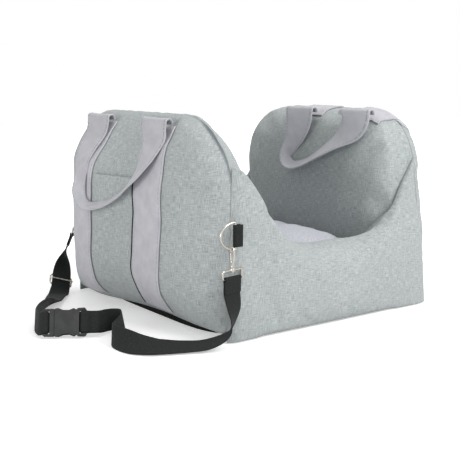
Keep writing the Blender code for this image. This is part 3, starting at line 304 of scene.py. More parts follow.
def linen(name, dark, middle, light, thread=0.0011, slub=0.013, seam_shadow="6E7578"):
    """Melange linen-look polyester: matt, with short darker and paler slubs along both threads.

    The real threads are about 0.5 mm apart, too fine to show, so the walls' are drawn at 1.1 mm and the
    cushion's at 2 mm. Beside a seam the cloth is painted darker: painted shade standing in for the shade in the seam's
    groove.
    """
    material, tree, shader = blank(name)
    place = add(tree, "UVMap", uv_map="cloth")
    weft, warp = (add(tree, "Mapping", {"Vector": place, "Scale": scale})
                  for scale in ((1 / slub, 1 / thread, 1), (1 / thread, 1 / slub, 1)))
    across, down = (add(tree, "TexNoise", {"Vector": lie, "Scale": 1.0, "Detail": 2.0}) for lie in (weft, warp))
    both = add(tree, "Math", {0: across, 1: down}, operation="ADD")
    slubs = add(tree, "MapRange", {0: both, 1: 0.68, 2: 1.32})
    ramp = add(tree, "ValToRGB", {0: slubs})
    ramp.color_ramp.elements[0].color = linear(dark)
    ramp.color_ramp.elements[1].color = linear(light)
    ramp.color_ramp.elements.new(0.5).color = linear(middle)
    clouds = add(tree, "TexNoise", {"Vector": place, "Scale": 9.0, "Detail": 3.0})
    faded = add(tree, "MapRange", {0: clouds, 1: 0.3, 2: 0.7, 4: 0.16})
    worn = add(tree, "Mix", {0: faded, 6: ramp, 7: linear(dark)}, data_type="RGBA")
    # Painted shade: the seam mark mixes the cloth toward the darker seam colour, standing in for the shade in a seam's
    # groove.
    seam = add(tree, "Attribute", attribute_name="seam").outputs["Fac"]
    sewn = add(tree, "MapRange", {0: seam, 1: 0.55, 4: 0.75})
    colour = add(tree, "Mix", {0: sewn, 6: worn.outputs[2], 7: linear(seam_shadow)}, data_type="RGBA")
    weave = add(tree, "Bump", {"Height": both, "Strength": 0.35, "Distance": 0.0006})
    fill(tree, shader, {"Base Color": colour.outputs[2], "Normal": weave, "Roughness": 0.95, "Sheen Weight": 0.12,
                        "Sheen Roughness": 0.6, "Specular IOR Level": 0.2})
    return material


def suede(name, base, nap, stitch, half_width):
    """Brushed suede-like polyester: a smooth short nap in soft clouds, with a stitched row 4 mm in from each edge.

    The stitches are drawn 6 mm long and 2.4 mm apart, since the real ones, about half that, would not show.
    """
    material, tree, shader = blank(name)
    place = add(tree, "UVMap", uv_map="cloth")
    clouds = add(tree, "TexNoise", {"Vector": place, "Scale": 38.0, "Detail": 4.0, "Roughness": 0.6})
    brushed = add(tree, "MapRange", {0: clouds, 1: 0.32, 2: 0.68})
    cloth = add(tree, "Mix", {0: brushed, 6: linear(nap), 7: linear(base)}, data_type="RGBA")
    axes = add(tree, "SeparateXYZ", {0: place})
    side = add(tree, "Math", {0: axes}, operation="ABSOLUTE")
    row = add(tree, "Math", {0: side, 1: half_width - 0.004, 2: 0.0007}, operation="COMPARE")
    dash = add(tree, "Math", {0: axes.outputs[1], 1: 0.0042}, operation="PINGPONG")
    long = add(tree, "Math", {0: dash, 1: 0.0012}, operation="GREATER_THAN")
    sewn = add(tree, "Math", {0: row, 1: long}, operation="MULTIPLY")
    thread = add(tree, "Mix", {0: sewn, 6: cloth.outputs[2], 7: linear(stitch)}, data_type="RGBA")
    fuzz = add(tree, "TexNoise", {"Vector": place, "Scale": 900.0, "Detail": 2.0})
    sunk = add(tree, "Math", {0: row, 1: -1.5, 2: fuzz}, operation="MULTIPLY_ADD")
    bump = add(tree, "Bump", {"Height": sunk, "Strength": 0.5, "Distance": 0.0005})
    fill(tree, shader, {"Base Color": thread.outputs[2], "Normal": bump, "Roughness": 0.9, "Sheen Weight": 0.25,
                        "Sheen Roughness": 0.5, "Specular IOR Level": 0.2})
    return material


def ribbed_webbing(name):
    """Black polyester webbing: fine ribs across it every 1.3 mm, cords along it every 1.8 mm, a faint sheen."""
    material, tree, shader = blank(name)
    place = add(tree, "UVMap", uv_map="cloth")
    axes = add(tree, "SeparateXYZ", {0: place})
    ribs = add(tree, "Math", {0: axes.outputs[1], 1: 0.00065}, operation="PINGPONG")
    cords = add(tree, "Math", {0: axes, 1: 0.0009}, operation="PINGPONG")
    height = add(tree, "Math", {0: ribs, 1: cords}, operation="ADD")
    tall = add(tree, "Math", {0: height, 1: 700.0}, operation="MULTIPLY")
    dust = add(tree, "TexNoise", {"Vector": place, "Scale": 260.0, "Detail": 3.0})
    tone = add(tree, "MapRange", {0: dust, 1: 0.35, 2: 0.7})
    colour = add(tree, "Mix", {0: tone, 6: linear("0B0D0D"), 7: linear("191C1C")}, data_type="RGBA")
    bump = add(tree, "Bump", {"Height": tall, "Strength": 0.6, "Distance": 0.0004})
    fill(tree, shader, {"Base Color": colour.outputs[2], "Normal": bump, "Roughness": 0.78, "Sheen Weight": 0.05,
                        "Specular IOR Level": 0.3})
    return material


def nickel(name):
    """Nickel-plated zinc and steel wire: bright and a little warm, with faint polishing marks."""
    material, tree, shader = blank(name)
    place = add(tree, "TexCoord").outputs["Object"]
    haze = add(tree, "TexNoise", {"Vector": place, "Scale": 420.0, "Detail": 3.0})
    rough = add(tree, "MapRange", {0: haze, 1: 0.3, 2: 0.7, 3: 0.16, 4: 0.32})
    tint = add(tree, "Mix", {0: haze, 6: linear("CFCBC3"), 7: linear("BDB8AE")}, data_type="RGBA")
    fill(tree, shader, {"Base Color": tint.outputs[2], "Roughness": rough, "Metallic": 1.0})
    return material


def acetal(name):
    """Moulded black acetal: satin, with a fine spark-eroded grain and paler rubbed patches."""
    material, tree, shader = blank(name)
    place = add(tree, "TexCoord").outputs["Object"]
    grain = add(tree, "TexNoise", {"Vector": place, "Scale": 1500.0, "Detail": 2.0})
    rub = add(tree, "TexNoise", {"Vector": place, "Scale": 60.0, "Detail": 3.0})
    worn = add(tree, "MapRange", {0: rub, 1: 0.45, 2: 0.75})
    colour = add(tree, "Mix", {0: worn, 6: linear("1B1D1C"), 7: linear("2A2C2B")}, data_type="RGBA")
    rough = add(tree, "MapRange", {0: rub, 1: 0.3, 2: 0.7, 3: 0.38, 4: 0.52})
    bump = add(tree, "Bump", {"Height": grain, "Strength": 0.25, "Distance": 0.0003})
    fill(tree, shader, {"Base Color": colour.outputs[2], "Roughness": rough, "Normal": bump})
    return material


def fleece(name, low, high, scale, rough=0.95, dots=0.0):
    """Felted, fibrous or granular matt stuff: two tones in fine noise; dots adds raised rubber dots."""
    material, tree, shader = blank(name)
    place = add(tree, "TexCoord").outputs["Object"]
    fibre = add(tree, "TexNoise", {"Vector": place, "Scale": scale, "Detail": 4.0, "Roughness": 0.7})
    tone = add(tree, "MapRange", {0: fibre, 1: 0.3, 2: 0.7})
    colour = add(tree, "Mix", {0: tone, 6: linear(low), 7: linear(high)}, data_type="RGBA")
    height = fibre
    if dots:
        cells = add(tree, "TexVoronoi", {"Vector": place, "Scale": dots, "Randomness": 0.0})
        domes = add(tree, "MapRange", {0: cells.outputs["Distance"], 1: 0.3, 2: 0.2, 4: 2.0})
        height = add(tree, "Math", {0: domes, 1: fibre}, operation="ADD")
    bump = add(tree, "Bump", {"Height": height, "Strength": 0.5, "Distance": 0.0008})
    fill(tree, shader, {"Base Color": colour.outputs[2], "Normal": bump, "Roughness": rough,
                        "Specular IOR Level": 0.25})
    return material


MELANGE = linen("melange_linen", "8A9091", "A8AEAE", "C6CAC9")
LAVENDER = linen("lavender_cotton", "A9AAB4", "BABBC3", "CACBD1", thread=0.0020, slub=0.006, seam_shadow="83848C")
BAND_SUEDE = suede("band_suede", "C3C3C8", "B4B4BA", "A2A2A8", BAND_WIDTH / 2)
GRIP_SUEDE = suede("grip_suede", "BEBEC3", "AFAFB5", "9C9CA2", 0.022)
WEBBING = ribbed_webbing("polyester_webbing")
NICKEL = nickel("nickel_plate")
ACETAL = acetal("black_acetal")
BASE_CLOTH = fleece("rubber_dotted_base_cloth", "101211", "242726", 900.0, rough=0.85, dots=160.0)
FIBRE = fleece("polyester_fibre", "D8D8D4", "F2F2EE", 240.0)
FOAM = fleece("cut_foam", "D4CFBC", "ECE8DA", 700.0)
BOARD = fleece("pressed_board", "3C3C3A", "555552", 420.0, rough=0.8)
ZIP_TAPE = fleece("woven_zip_tape", "8A8D92", "A4A7AC", 1400.0, rough=0.8)
# Painted shadow: near-black cloth for the strip that stands in for the shade in the gap by the pocket's edge.
POCKET_GAP_SHADOW = fleece("painted_pocket_gap_shadow", "0E1011", "1C1F20", 900.0)


# Camera, lights and floor

def camera():
    """The photograph's viewpoint, fitted to the bed's corners."""
    data = bpy.data.cameras.new("view")
    data.lens, data.sensor_width = 70.4348, 36.0
    obj = link("view", data)
    obj.location = (-1.058, -1.396, 0.436)
    obj.rotation_euler = (math.radians(80.2), 0.0, math.radians(-36.0))
    bpy.context.scene.camera = obj


def lamp(name, place, aim, size, power):
    """A soft square lamp that looks at a point."""
    data = bpy.data.lights.new(name, "AREA")
    data.size, data.energy = size, power
    obj = link(name, data)
    obj.location = place
    obj.rotation_euler = (Vector(aim) - Vector(place)).to_track_quat("-Z", "Y").to_euler()


def studio():
    """Pale floor, even sky and soft lamps; the background is white to the camera and in reflections."""
    bpy.ops.mesh.primitive_plane_add(size=12.0, location=(0, 0, -0.0002))
    floor = bpy.context.object
    floor.name = "floor"
    material, tree, shader = blank("floor_paper")
    path = add(tree, "LightPath")
    away = add(tree, "VectorMath", {0: add(tree, "TexCoord").outputs["Object"]}, operation="LENGTH")
    fade = add(tree, "MapRange", {0: away.outputs["Value"], 1: 0.45, 2: 1.1, 3: 0.42},
               interpolation_type="SMOOTHSTEP")
    glow = add(tree, "Math", {0: path.outputs["Is Camera Ray"], 1: fade}, operation="MULTIPLY")
    fill(tree, shader, {"Base Color": linear("F2F2F2"), "Roughness": 0.9, "Emission Color": WHITE,
                        "Emission Strength": glow})
    floor.data.materials.append(material)
    world = bpy.data.worlds.new("sky")
    bpy.context.scene.world = world
    world.use_nodes = True
    tree = world.node_tree
    path = add(tree, "LightPath")
    seen = add(tree, "Math", {0: path.outputs["Is Camera Ray"], 1: path.outputs["Is Glossy Ray"]},
               operation="MAXIMUM")
    level = add(tree, "MapRange", {0: seen, 3: 0.42})
    fill(tree, tree.nodes["Background"], {"Color": WHITE, "Strength": level})
    lamp("key", (0.6, -2.3, 1.9), (0, 0, 0.15), 1.5, 58.0)
    lamp("left_fill", (-2.4, -0.5, 0.62), (0, 0, 0.15), 1.0, 17.0)
    lamp("top", (0.2, 0.3, 2.6), (0, 0, 0.1), 1.6, 20.0)
    bpy.context.scene.view_settings.view_transform = "Standard"


camera()
studio()


# Tether

RING_BAR = {"near": np.array((-0.2195, -0.25695, 0.182)), "far": np.array((-0.2195, 0.25695, 0.175))}
RING_DEPTH, RING_HALF, RING_WIRE = 0.0293, 0.0222, 0.00175
TAB_RADIUS, TAB_LEG, TAB_WIDTH = 0.0031, 0.0125, 0.0364
# Each hook's place round its ring, lean and loop's turn in degrees, and the side its jaw faces along Y
HOOKS = {"near": (math.degrees(math.asin(0.0062 / RING_DEPTH)), 0.0, 9.0, -1.0), "far": (35.0, 25.0, 58.0, 1.0)}
HOOK_LENGTH, NECK = 0.030, 0.0064
LOOP_WIRE, LOOP_HEIGHT = 0.0016, 0.0135
EYE_TAIL, OPEN_GAP = 0.024, 0.0026
SLOT_EYE = (0.0060, EYE_TAIL, 0.0070)
ROUTE_STEP = 0.0035
BUCKLE_ALONG = np.array((-0.857167, 0.515038, 0.0))
BUCKLE_FOOT = np.array((-0.233822, -0.389146, -0.891007))
BUCKLE_FACE = np.array((-0.458902, -0.763742, 0.453990))
BUCKLE_CENTRE = np.array((-0.42, -0.047, 0.024835))
SOCKET_BAR, PLUG_BAR = BUCKLE_CENTRE - BUCKLE_ALONG * 0.0325, BUCKLE_CENTRE + BUCKLE_ALONG * 0.0358
# The tether's routes, from hook to buckle: a point, and the direction of the width
NEAR_ROUTE = (
    (-0.2235, -0.2590, 0.064, 0.93, 0.32, 0.0), (-0.2260, -0.2600, 0.044, 0.78, 0.62, 0.0),
    (-0.2350, -0.2620, 0.028, 0.62, 0.76, 0.05), (-0.2520, -0.2590, 0.0165, 0.45, 0.88, 0.10),
    (-0.2740, -0.2480, 0.0090, 0.22, 0.95, 0.15), (-0.3000, -0.2350, 0.0080, 0.05, 0.96, 0.24),
    (-0.3260, -0.2240, 0.0095, 0.00, 0.93, 0.36), (-0.3500, -0.2130, 0.0120, 0.10, 0.85, 0.50),
    (-0.3700, -0.1950, 0.0150, 0.25, 0.70, 0.70), (-0.3820, -0.1700, 0.0180, 0.25, 0.35, 0.90),
    (-0.3840, -0.1440, 0.0190, 0.10, 0.05, 0.99), (-0.3700, -0.1260, 0.0195, -0.10, -0.15, 0.98),
    (-0.3500, -0.1090, 0.0195, -0.15, 0.00, 0.99), (-0.3330, -0.0900, 0.0195, -0.15, 0.10, 0.99),
    (-0.3275, -0.0720, 0.0195, -0.05, 0.20, 0.97), (-0.3370, -0.0620, 0.0200, 0.10, 0.30, 0.95),
    (-0.3520, -0.0660, 0.0220, 0.20, 0.35, 0.92))
FAR_ROUTE = (
    (-0.2800, 0.2500, 0.0580, 0.88, 0.20, -0.35), (-0.2890, 0.2397, 0.0400, 0.90, -0.24, -0.35),
    (-0.2945, 0.2320, 0.0290, 0.90, -0.26, -0.35), (-0.2991, 0.2256, 0.0199, 0.90, -0.27, -0.34),
    (-0.3020, 0.2217, 0.0143, 0.90, -0.28, -0.32), (-0.3110, 0.2108, 0.0080, 0.88, -0.36, -0.12),
    (-0.3240, 0.1950, 0.0070, 0.84, -0.40, 0.00), (-0.3500, 0.1580, 0.0075, 0.81, -0.50, 0.15),
    (-0.3740, 0.1220, 0.0120, 0.74, -0.40, 0.50), (-0.3960, 0.0900, 0.0180, 0.45, -0.10, 0.88),
    (-0.4180, 0.0600, 0.0195, 0.20, 0.10, 0.97), (-0.4370, 0.0320, 0.0195, 0.15, 0.15, 0.97),
    (-0.4480, 0.0100, 0.0200, 0.20, 0.25, 0.94))
GLIDE_AT = FAR_ROUTE[2][:3]
FLOOR_GAP = 0.0005


def above_floor(rows, thickness):
    """Lift each row of a route, where its strap's lower edge would go under the floor."""
    across, normal = carried(rows[:, :3], rows[:, 3:6])
    reach = np.abs(across[:, 2]) * WEB_WIDTH / 2 + np.abs(normal[:, 2]) * thickness / 2
    rows[:, 2] = np.maximum(rows[:, 2], FLOOR_GAP + reach)
    return rows


def eye(bar, across, down, radius, tail, fold=WEB_THICKNESS):
    """Points of a strap's end turned over a bar: up the back, half a turn round the bar, and down the front.

    Each row holds the point, the direction of the width, and the thickness, which is fold round the bar.
    """
    normal = np.cross(across, down)
    lay = WEB_THICKNESS * 0.55
    rows = [bar + down * tail - normal * lay, bar + down * (tail * 0.5) - normal * lay]
    for angle in np.radians((150, 100, 50, 0, -50, -100, -150)):
        rows.append(bar - down * radius * math.cos(angle) - normal * radius * math.sin(angle))
    rows += [bar + down * (tail * 0.5) + normal * lay, bar + down * tail + normal * lay]
    return [(*p, *across, fold if 1 < number < 9 else WEB_THICKNESS) for number, p in enumerate(rows)]


def hook_axes(side):
    """Origin on the ring's wire, and the hook's directions: down its stem, across its jaw, along it, across its loop.

    The near hook hangs straight down; the far one leans.
    """
    *degrees, out = HOOKS[side]
    angle, lean, turn = np.radians(degrees)
    stem = np.array((-math.sin(lean), 0.0, -math.cos(lean)))
    across = np.array((math.cos(lean), 0.0, -math.sin(lean)))
    origin = RING_BAR[side] + np.array((-RING_DEPTH * math.sin(angle), 0.0, -RING_HALF * math.cos(angle)))
    wide = across * math.cos(turn) - np.cross(stem, across) * math.sin(turn)
    return origin, stem, across, np.array((0.0, out, 0.0)), wide


def hook_eye(side):
    """The strap's end on a hook: its rows, the loop's bar, and the directions down the hook and across the strap."""
    origin, stem, _, _, wide = hook_axes(side)
    bar = origin + stem * (HOOK_LENGTH + NECK / 2 + LOOP_HEIGHT)
    return eye(bar, wide, stem, LOOP_WIRE + 0.0014, EYE_TAIL), bar, stem, wide


def tether_strap(side, rows, thickness):
    """One strap of the tether; the pieces move with it."""
    rows = above_floor(rows, thickness)
    obj = strap(f"{side}_tether_strap", rows[:, :3], rows[:, 3:6], WEB_WIDTH, thickness)
    dress(obj, WEBBING, f"{side}_tether", "webbing", f"{side}_webbing")


def tether_webbing():
    """Near strap from the near hook to the buckle's socket, far strap from its sewn end to the plug."""
    rows = hook_eye("near")[0] + [(*row, WEB_THICKNESS) for row in NEAR_ROUTE]
    end = eye(SOCKET_BAR, -BUCKLE_FOOT, -BUCKLE_ALONG, *SLOT_EYE)
    rows = curve_through(rows + end[::-1], ROUTE_STEP)
    tether_strap("near", rows, rows[:, 6])

    rows, bar, stem, wide = hook_eye("far")
    rows = curve_through(rows, 0.003)
    sewn = strap("far_tether_sewn_end", rows[:, :3], rows[:, 3:6], WEB_WIDTH, WEB_THICKNESS)
    dress(sewn, WEBBING, "far_loop", "webbing", "far_webbing_end")
    start = bar + stem * (EYE_TAIL + 0.0003)
    turn = math.radians(55.0)
    away = BUCKLE_ALONG * math.cos(turn) - BUCKLE_FACE * math.sin(turn)
    rows = [(*start, *wide), (*(start + stem * (OPEN_GAP + 0.008)), *wide)] + list(FAR_ROUTE)
    end = eye(PLUG_BAR, -BUCKLE_FOOT, away, SLOT_EYE[0], 0.014, SLOT_EYE[2])
    rows = curve_through([(*row, WEB_THICKNESS) for row in rows] + end[::-1], ROUTE_STEP)
    travel = along(rows[:, :3])
    travel = travel / travel[-1]
    doubled = ease((travel - 0.30) / 0.04) * (1 - ease((travel - 0.88) / 0.02))
    tether_strap("far", rows, rows[:, 6] + WEB_THICKNESS * doubled)


tether_webbing()


def d_ring(side):
    """A D-ring of 3.5 mm wire: a straight bar, and a bow that is half an ellipse."""
    bar = RING_BAR[side]
    turn = np.linspace(0, math.pi, 41)
    bow = bar + np.stack([-RING_DEPTH * np.sin(turn), 0 * turn, RING_HALF * np.cos(turn)], -1)
    straight = bar + np.stack([0 * turn[:9], 0 * turn[:9], np.linspace(-0.85, 0.85, 9) * RING_HALF], -1)
    ring = wire(f"{side}_ring_wire", np.concatenate([straight, bow]), RING_WIRE, closed=True)
    dress(ring, NICKEL, f"{side}_ring", "nickel", f"{side}_d_ring")


def oblong(half_p, half_q, radius, middle=0.0):
    """A closed path of (p, q) round an oblong with round corners; middle is where its middle lies along p."""
    turn = np.radians(np.arange(0, 91, 15))
    path = [np.stack([middle + p * (half_p - radius) + radius * np.cos(turn + start),
                      q * (half_q - radius) + radius * np.sin(turn + start)], -1)
            for p, q, start in ((1, 1, 0.0), (-1, 1, math.pi / 2), (-1, -1, math.pi), (1, -1, math.pi * 1.5))]
    return curve_through(np.concatenate(path + [path[0][:1]]), 0.004)[:-1]


def snap_hook(side):
    """A cast swivel hook: eye, slim waisted shank and collar; a sprung gate; and the strap's oblong loop.

    A profile's rows are the place along the jaw, the place down the stem, and the radius in millimetres.
    """
    origin, stem, across, jaw, wide = hook_axes(side)
    crown, half = 0.00365, 0.0044
    profile = np.array((
        (-half, 0.0052, 1.35), (-half * 1.02, 0.0028, 1.55), (-half * 0.96, 0.0002, 1.6), (-half * 0.66, -0.0026, 1.6),
        (0.0, -crown, 1.6), (half * 0.66, -0.0026, 1.6), (half * 0.98, 0.0005, 1.6), (half * 1.05, 0.0060, 1.6),
        (half * 1.02, 0.0120, 1.65), (half * 0.78, 0.0180, 1.9), (half * 0.30, 0.0222, 2.2), (0.0, 0.0255, 2.3),
        (0.0, 0.0278, 2.6), (0.0, 0.0298, 2.5), (0.0, 0.0302, 1.5), (0.0, 0.0362, 1.5), (0.0, 0.0366, 2.7),
        (0.0, 0.0384, 2.6)))
    rows = np.array([(*(origin + jaw * u + stem * d), r * 0.001) for u, d, r in profile])
    rows = curve_through(rows, 0.0011)
    body = wire(f"{side}_hook_shank", rows[:, :3], np.maximum(rows[:, 3], 0.0012), guide=across)
    dress(body, NICKEL, f"{side}_ring", "nickel", f"{side}_hook_body")
    rows = curve_through([(*(origin + jaw * u + stem * d), r * 0.001) for u, d, r in (
        (-0.0016, 0.0224, 1.5), (-0.0024, 0.0195, 1.5), (-0.0036, 0.0130, 1.35), (-half, 0.0062, 1.2))], 0.0012)
    gate = wire(f"{side}_hook_latch", rows[:, :3], rows[:, 3], guide=across)
    dress(gate, NICKEL, f"{side}_gate", "nickel", f"{side}_hook_gate")

    top = HOOK_LENGTH + NECK / 2
    foot = top + LOOP_HEIGHT
    path = oblong((foot - top) / 2, WEB_WIDTH / 2 + 0.001 + LOOP_WIRE, 0.0035, (foot + top) / 2)
    loop = wire(f"{side}_strap_loop", origin + stem * path[:, :1] + wide * path[:, 1:], LOOP_WIRE, closed=True)
    span = np.linspace(-NECK / 2 + 0.0003, NECK / 2 - 0.0003, 9)
    bulge = 0.0036 + 0.0007 * np.cos(span / (NECK / 2) * math.pi / 2)
    collar = wire(f"{side}_collar", origin + stem * (top + span)[:, None], bulge, sides=24)
    join([loop, collar])
    body = "near_tether" if side == "near" else "far_loop"
    dress(loop, NICKEL, body, "nickel", f"{side}_hook_loop")


def join(pieces):
    """Join pieces into the first one."""
    bpy.ops.object.select_all(action="DESELECT")
    for obj in pieces:
        obj.select_set(True)
    bpy.context.view_layer.objects.active = pieces[0]
    bpy.ops.object.join()


def ring_tab(side, sign):
    """Webbing folded round the ring's bar and sewn on the side: a half turn with two flat legs."""
    turn = np.radians(np.linspace(-90, 90, 13))
    arc = np.stack([-TAB_RADIUS * np.cos(turn), sign * TAB_RADIUS * np.sin(turn), 0 * turn], -1)
    legs = np.linspace(TAB_LEG, 0.001, 6)
    front = np.stack([legs, sign * TAB_RADIUS + 0 * legs, 0 * legs], -1)
    path = RING_BAR[side] + np.concatenate([front * (1, -1, 1), arc, front[::-1]]) - (0, sign * 0.0004, 0)
    tab = strap(f"{side}_ring_webbing", path, np.tile((0.0, 0.0, 1.0), (len(path), 1)), TAB_WIDTH, WEB_THICKNESS)
    dress(tab, WEBBING, "bed", "webbing", f"{side}_ring_tab")


def adjuster():
    """The strap adjuster: a rounded oblong frame of 3.2 mm wire in front of the strap, its middle bar behind it."""
    rows = curve_through(FAR_ROUTE, 0.005)
    place = int(np.argmin(np.linalg.norm(rows[:, :3] - GLIDE_AT, axis=1)))
    centre = rows[place, :3]
    down = unit(rows[place + 1, :3] - rows[place - 1, :3])
    across = unit(rows[place, 3:] - down * float(rows[place, 3:] @ down))
    out = np.cross(across, down)
    half, lift, radius = 0.0218, 0.0036, 0.0016
    path = oblong(half, 0.0104, 0.005)
    glide = wire("adjuster_frame", centre + across * path[:, :1] + down * path[:, 1:] + out * lift, radius, closed=True)
    bar = curve_through([centre + across * u + out * w for u, w in (
        (-half, lift), (-half, 0.0), (-half + 0.002, -lift), (0.0, -lift), (half - 0.002, -lift), (half, 0.0),
        (half, lift))], 0.002)
    join([glide, wire("adjuster_bar", bar, radius)])
    dress(glide, NICKEL, "adjuster", "nickel", "strap_glide")


for side, sign in (("near", -1), ("far", 1)):
    d_ring(side)
    snap_hook(side)
    ring_tab(side, sign)
adjuster()


# Tall walls

# X of each corner's seam, read from the floor up: (end, wall) gives the heights and the distances from the middle
CORNER_AT = {
    (-1, -1): ((0.000, 0.200, 0.292), (0.2255, 0.2137, 0.2137)),
    (1, -1): ((0.002, 0.060, 0.120, 0.200, 0.292), (0.250, 0.245, 0.243, 0.243, 0.238)),
    (-1, 1): ((0.002, 0.084, 0.147, 0.178, 0.240, 0.292), (0.250, 0.240, 0.233, 0.226, 0.221, 0.219)),
    (1, 1): ((0.002, 0.084, 0.178, 0.292), (0.246, 0.238, 0.228, 0.224)),
}
CORNER_RADIUS = 0.035
CREST_SEAM = 0.2215
GUSSET = {-1: 0.006, 1: 0.012}
SQUARE_CORNER = 2.5
INNER_FACE = 0.142
FACE_FULLNESS = {-1: 0.048, 1: 0.044}
NEAR_DRAWN, FAR_DRAWN = 0.013, 0.017
FIBRE_INSET, FIBRE_REACH, FOAM_INSET = 0.007, 0.132, 0.008


def corner_arc(d):
    """Rise of a round corner at distance d from a seam that it meets at 45 degrees."""
    half = CORNER_RADIUS * math.sqrt(0.5)
    return np.sqrt(CORNER_RADIUS ** 2 - np.maximum(half - d, 0.0) ** 2) - half


def fullness(d, reach):
    """A parabola that climbs from 0 at the seam to 1 at the reach, and stays there."""
    return 1 - (1 - np.clip(d / reach, 0.0, 1.0)) ** 2


def quarter_round(d, reach):
    """A quarter circle that climbs from 0 at the seam to 1 at the reach, and stays there."""
    return np.sqrt(1 - (1 - np.clip(d / reach, 0.0, 1.0)) ** 2)


def drawn_in(z, wall, end):
    """How far a wall's end is drawn in above the cushion; only the wall without the pocket leans so."""
    if wall < 0:
        return 0 * z
    return NEAR_DRAWN * ease((z - 0.13) / 0.12) if end < 0 else FAR_DRAWN * ease((z - 0.10) / 0.12)


def top_arc(z, wall, end):
    """Half width of a wall at height z: its drawn-in end, less what its large round top corner takes away.

    The corner is |y|^p + |z|^p = r^p; with p = 2 it is a circle, and the far corner by the pocket is squarer.
    """
    power = SQUARE_CORNER if wall < 0 < end else 2.0
    over = np.clip((z - PANEL_TOP) / WALL_TOP_RADIUS + 1, 0.0, 1.0)
    low = np.clip(WALL_FOOT + FOOT_RADIUS - z, 0.0, FOOT_RADIUS)
    return (WALL_END - drawn_in(z, wall, end) + WALL_TOP_RADIUS * ((1 - over ** power) ** (1 / power) - 1)
            - FOOT_RADIUS + np.sqrt(FOOT_RADIUS ** 2 - low ** 2))


def wall_grid(sign):
    """Places (y, z) on a wall's panel: rows of equal steps along its outline, columns across its width."""
    knee = PANEL_TOP - WALL_TOP_RADIUS
    rows = np.concatenate([WALL_FOOT + FOOT_RADIUS * (1 - np.cos(np.linspace(0, math.pi / 2, 4)))[:-1],
                           np.linspace(WALL_FOOT + FOOT_RADIUS, knee, 34)[:-1],
                           knee + WALL_TOP_RADIUS * np.sin(np.linspace(0, math.pi / 2, 25))])
    z, u = np.meshgrid(rows, crowded(71, 0.42), indexing="ij")
    near, far = (top_arc(z, sign, end) for end in (-1, 1))
    return -near + (near + far) * (u + 1) / 2, z


def from_edges(y, z, sign):
    """Distance in from a panel's seam at its ends and top, which its round top corners blend."""
    near, far = (top_arc(z, sign, end) for end in (-1, 1))
    middle, half = (far - near) / 2, (far + near) / 2
    over_y = np.abs(y - middle) - (WALL_END - WALL_TOP_RADIUS)
    over_z = z - (PANEL_TOP - WALL_TOP_RADIUS)
    inside = np.minimum(np.maximum(over_y, over_z), 0.0)
    power = np.where((sign < 0) & (y > middle), SQUARE_CORNER, 2.0)
    corner = (np.maximum(over_y, 0.0) ** power + np.maximum(over_z, 0.0) ** power) ** (1 / power)
    return np.clip(WALL_TOP_RADIUS - inside - corner, 0.0, np.maximum(half - np.abs(y - middle), 0.0) * 3)


def seam_x(y, z, sign):
    """Distance of a panel's seam from the bed's middle: from corner to corner, and at the foot drawn in between.

    Above 270 mm it blends into the crest's seam.
    """
    near, far = (np.interp(z, *CORNER_AT[(end, sign)]) for end in (-1, 1))
    high = np.clip(z / 0.06, 0.0, 1.0)
    share = ease((y + 0.03 * high) / (0.17 - 0.04 * high))
    low = 0.0085 * np.exp(-((y + 0.07) / 0.07) ** 2) * (1 - high)
    ends = near + (far - near) * share - low
    return ends + (CREST_SEAM - ends) * ease((z - 0.27) / 0.08)


def outer_face(y, z, sign, edge=None):
    """Distance of the filled outer panel from the bed's middle: round at its seams, full in its face.

    It is the seam, a quarter of a circle in from it, and a parabola that is full 150 mm in.
    """
    if edge is None:
        edge = from_edges(y, z, sign)
    foot = quarter_round(z - WALL_FOOT, 0.10)
    return seam_x(y, z, sign) + (corner_arc(edge) + FACE_FULLNESS[sign] * fullness(edge, 0.15)) * foot


def inner_face(y, z, sign, edge=None):
    """Distance of the inner panel from the bed's middle: widely rounded at its edges, nearly flat between.

    The crest's edge is tighter on the wall without the pocket, and the near top corner of the other is slacker.
    """
    if edge is None:
        edge = from_edges(y, z, sign)
    start = seam_x(y, z, sign) - GUSSET[sign]
    wide = 0.055 if sign < 0 else 0.055 - 0.031 * ease((z - 0.30) / 0.05) * ease((0.16 - np.abs(y)) / 0.06)
    share = 0.73 * quarter_round(edge, wide) + 0.27 * fullness(edge, 0.15)
    if sign < 0:
        share = share + (fullness(edge, 0.105) - share) * ease((z - 0.24) / 0.05) * ease((-0.04 - y) / 0.10)
    return start + (INNER_FACE - start) * share * quarter_round(z - WALL_FOOT, 0.05)


def band_between(front, back, outward, bulge, cells):
    """The strip between two panels' seams: it runs from one seam to the other and bows out between them."""
    t = np.linspace(0, 1, cells + 1)[None, :, None]
    return front[:, None] * (1 - t) + back[:, None] * t + outward[:, None] * (bulge[:, None, None] * 4 * t * (1 - t))


def rim_of(grid):
    """The points round the edge of a grid, in one closed loop without a repeat."""
    return np.concatenate([grid[0, :-1], grid[:-1, -1], grid[-1, :0:-1], grid[:0:-1, 0]])


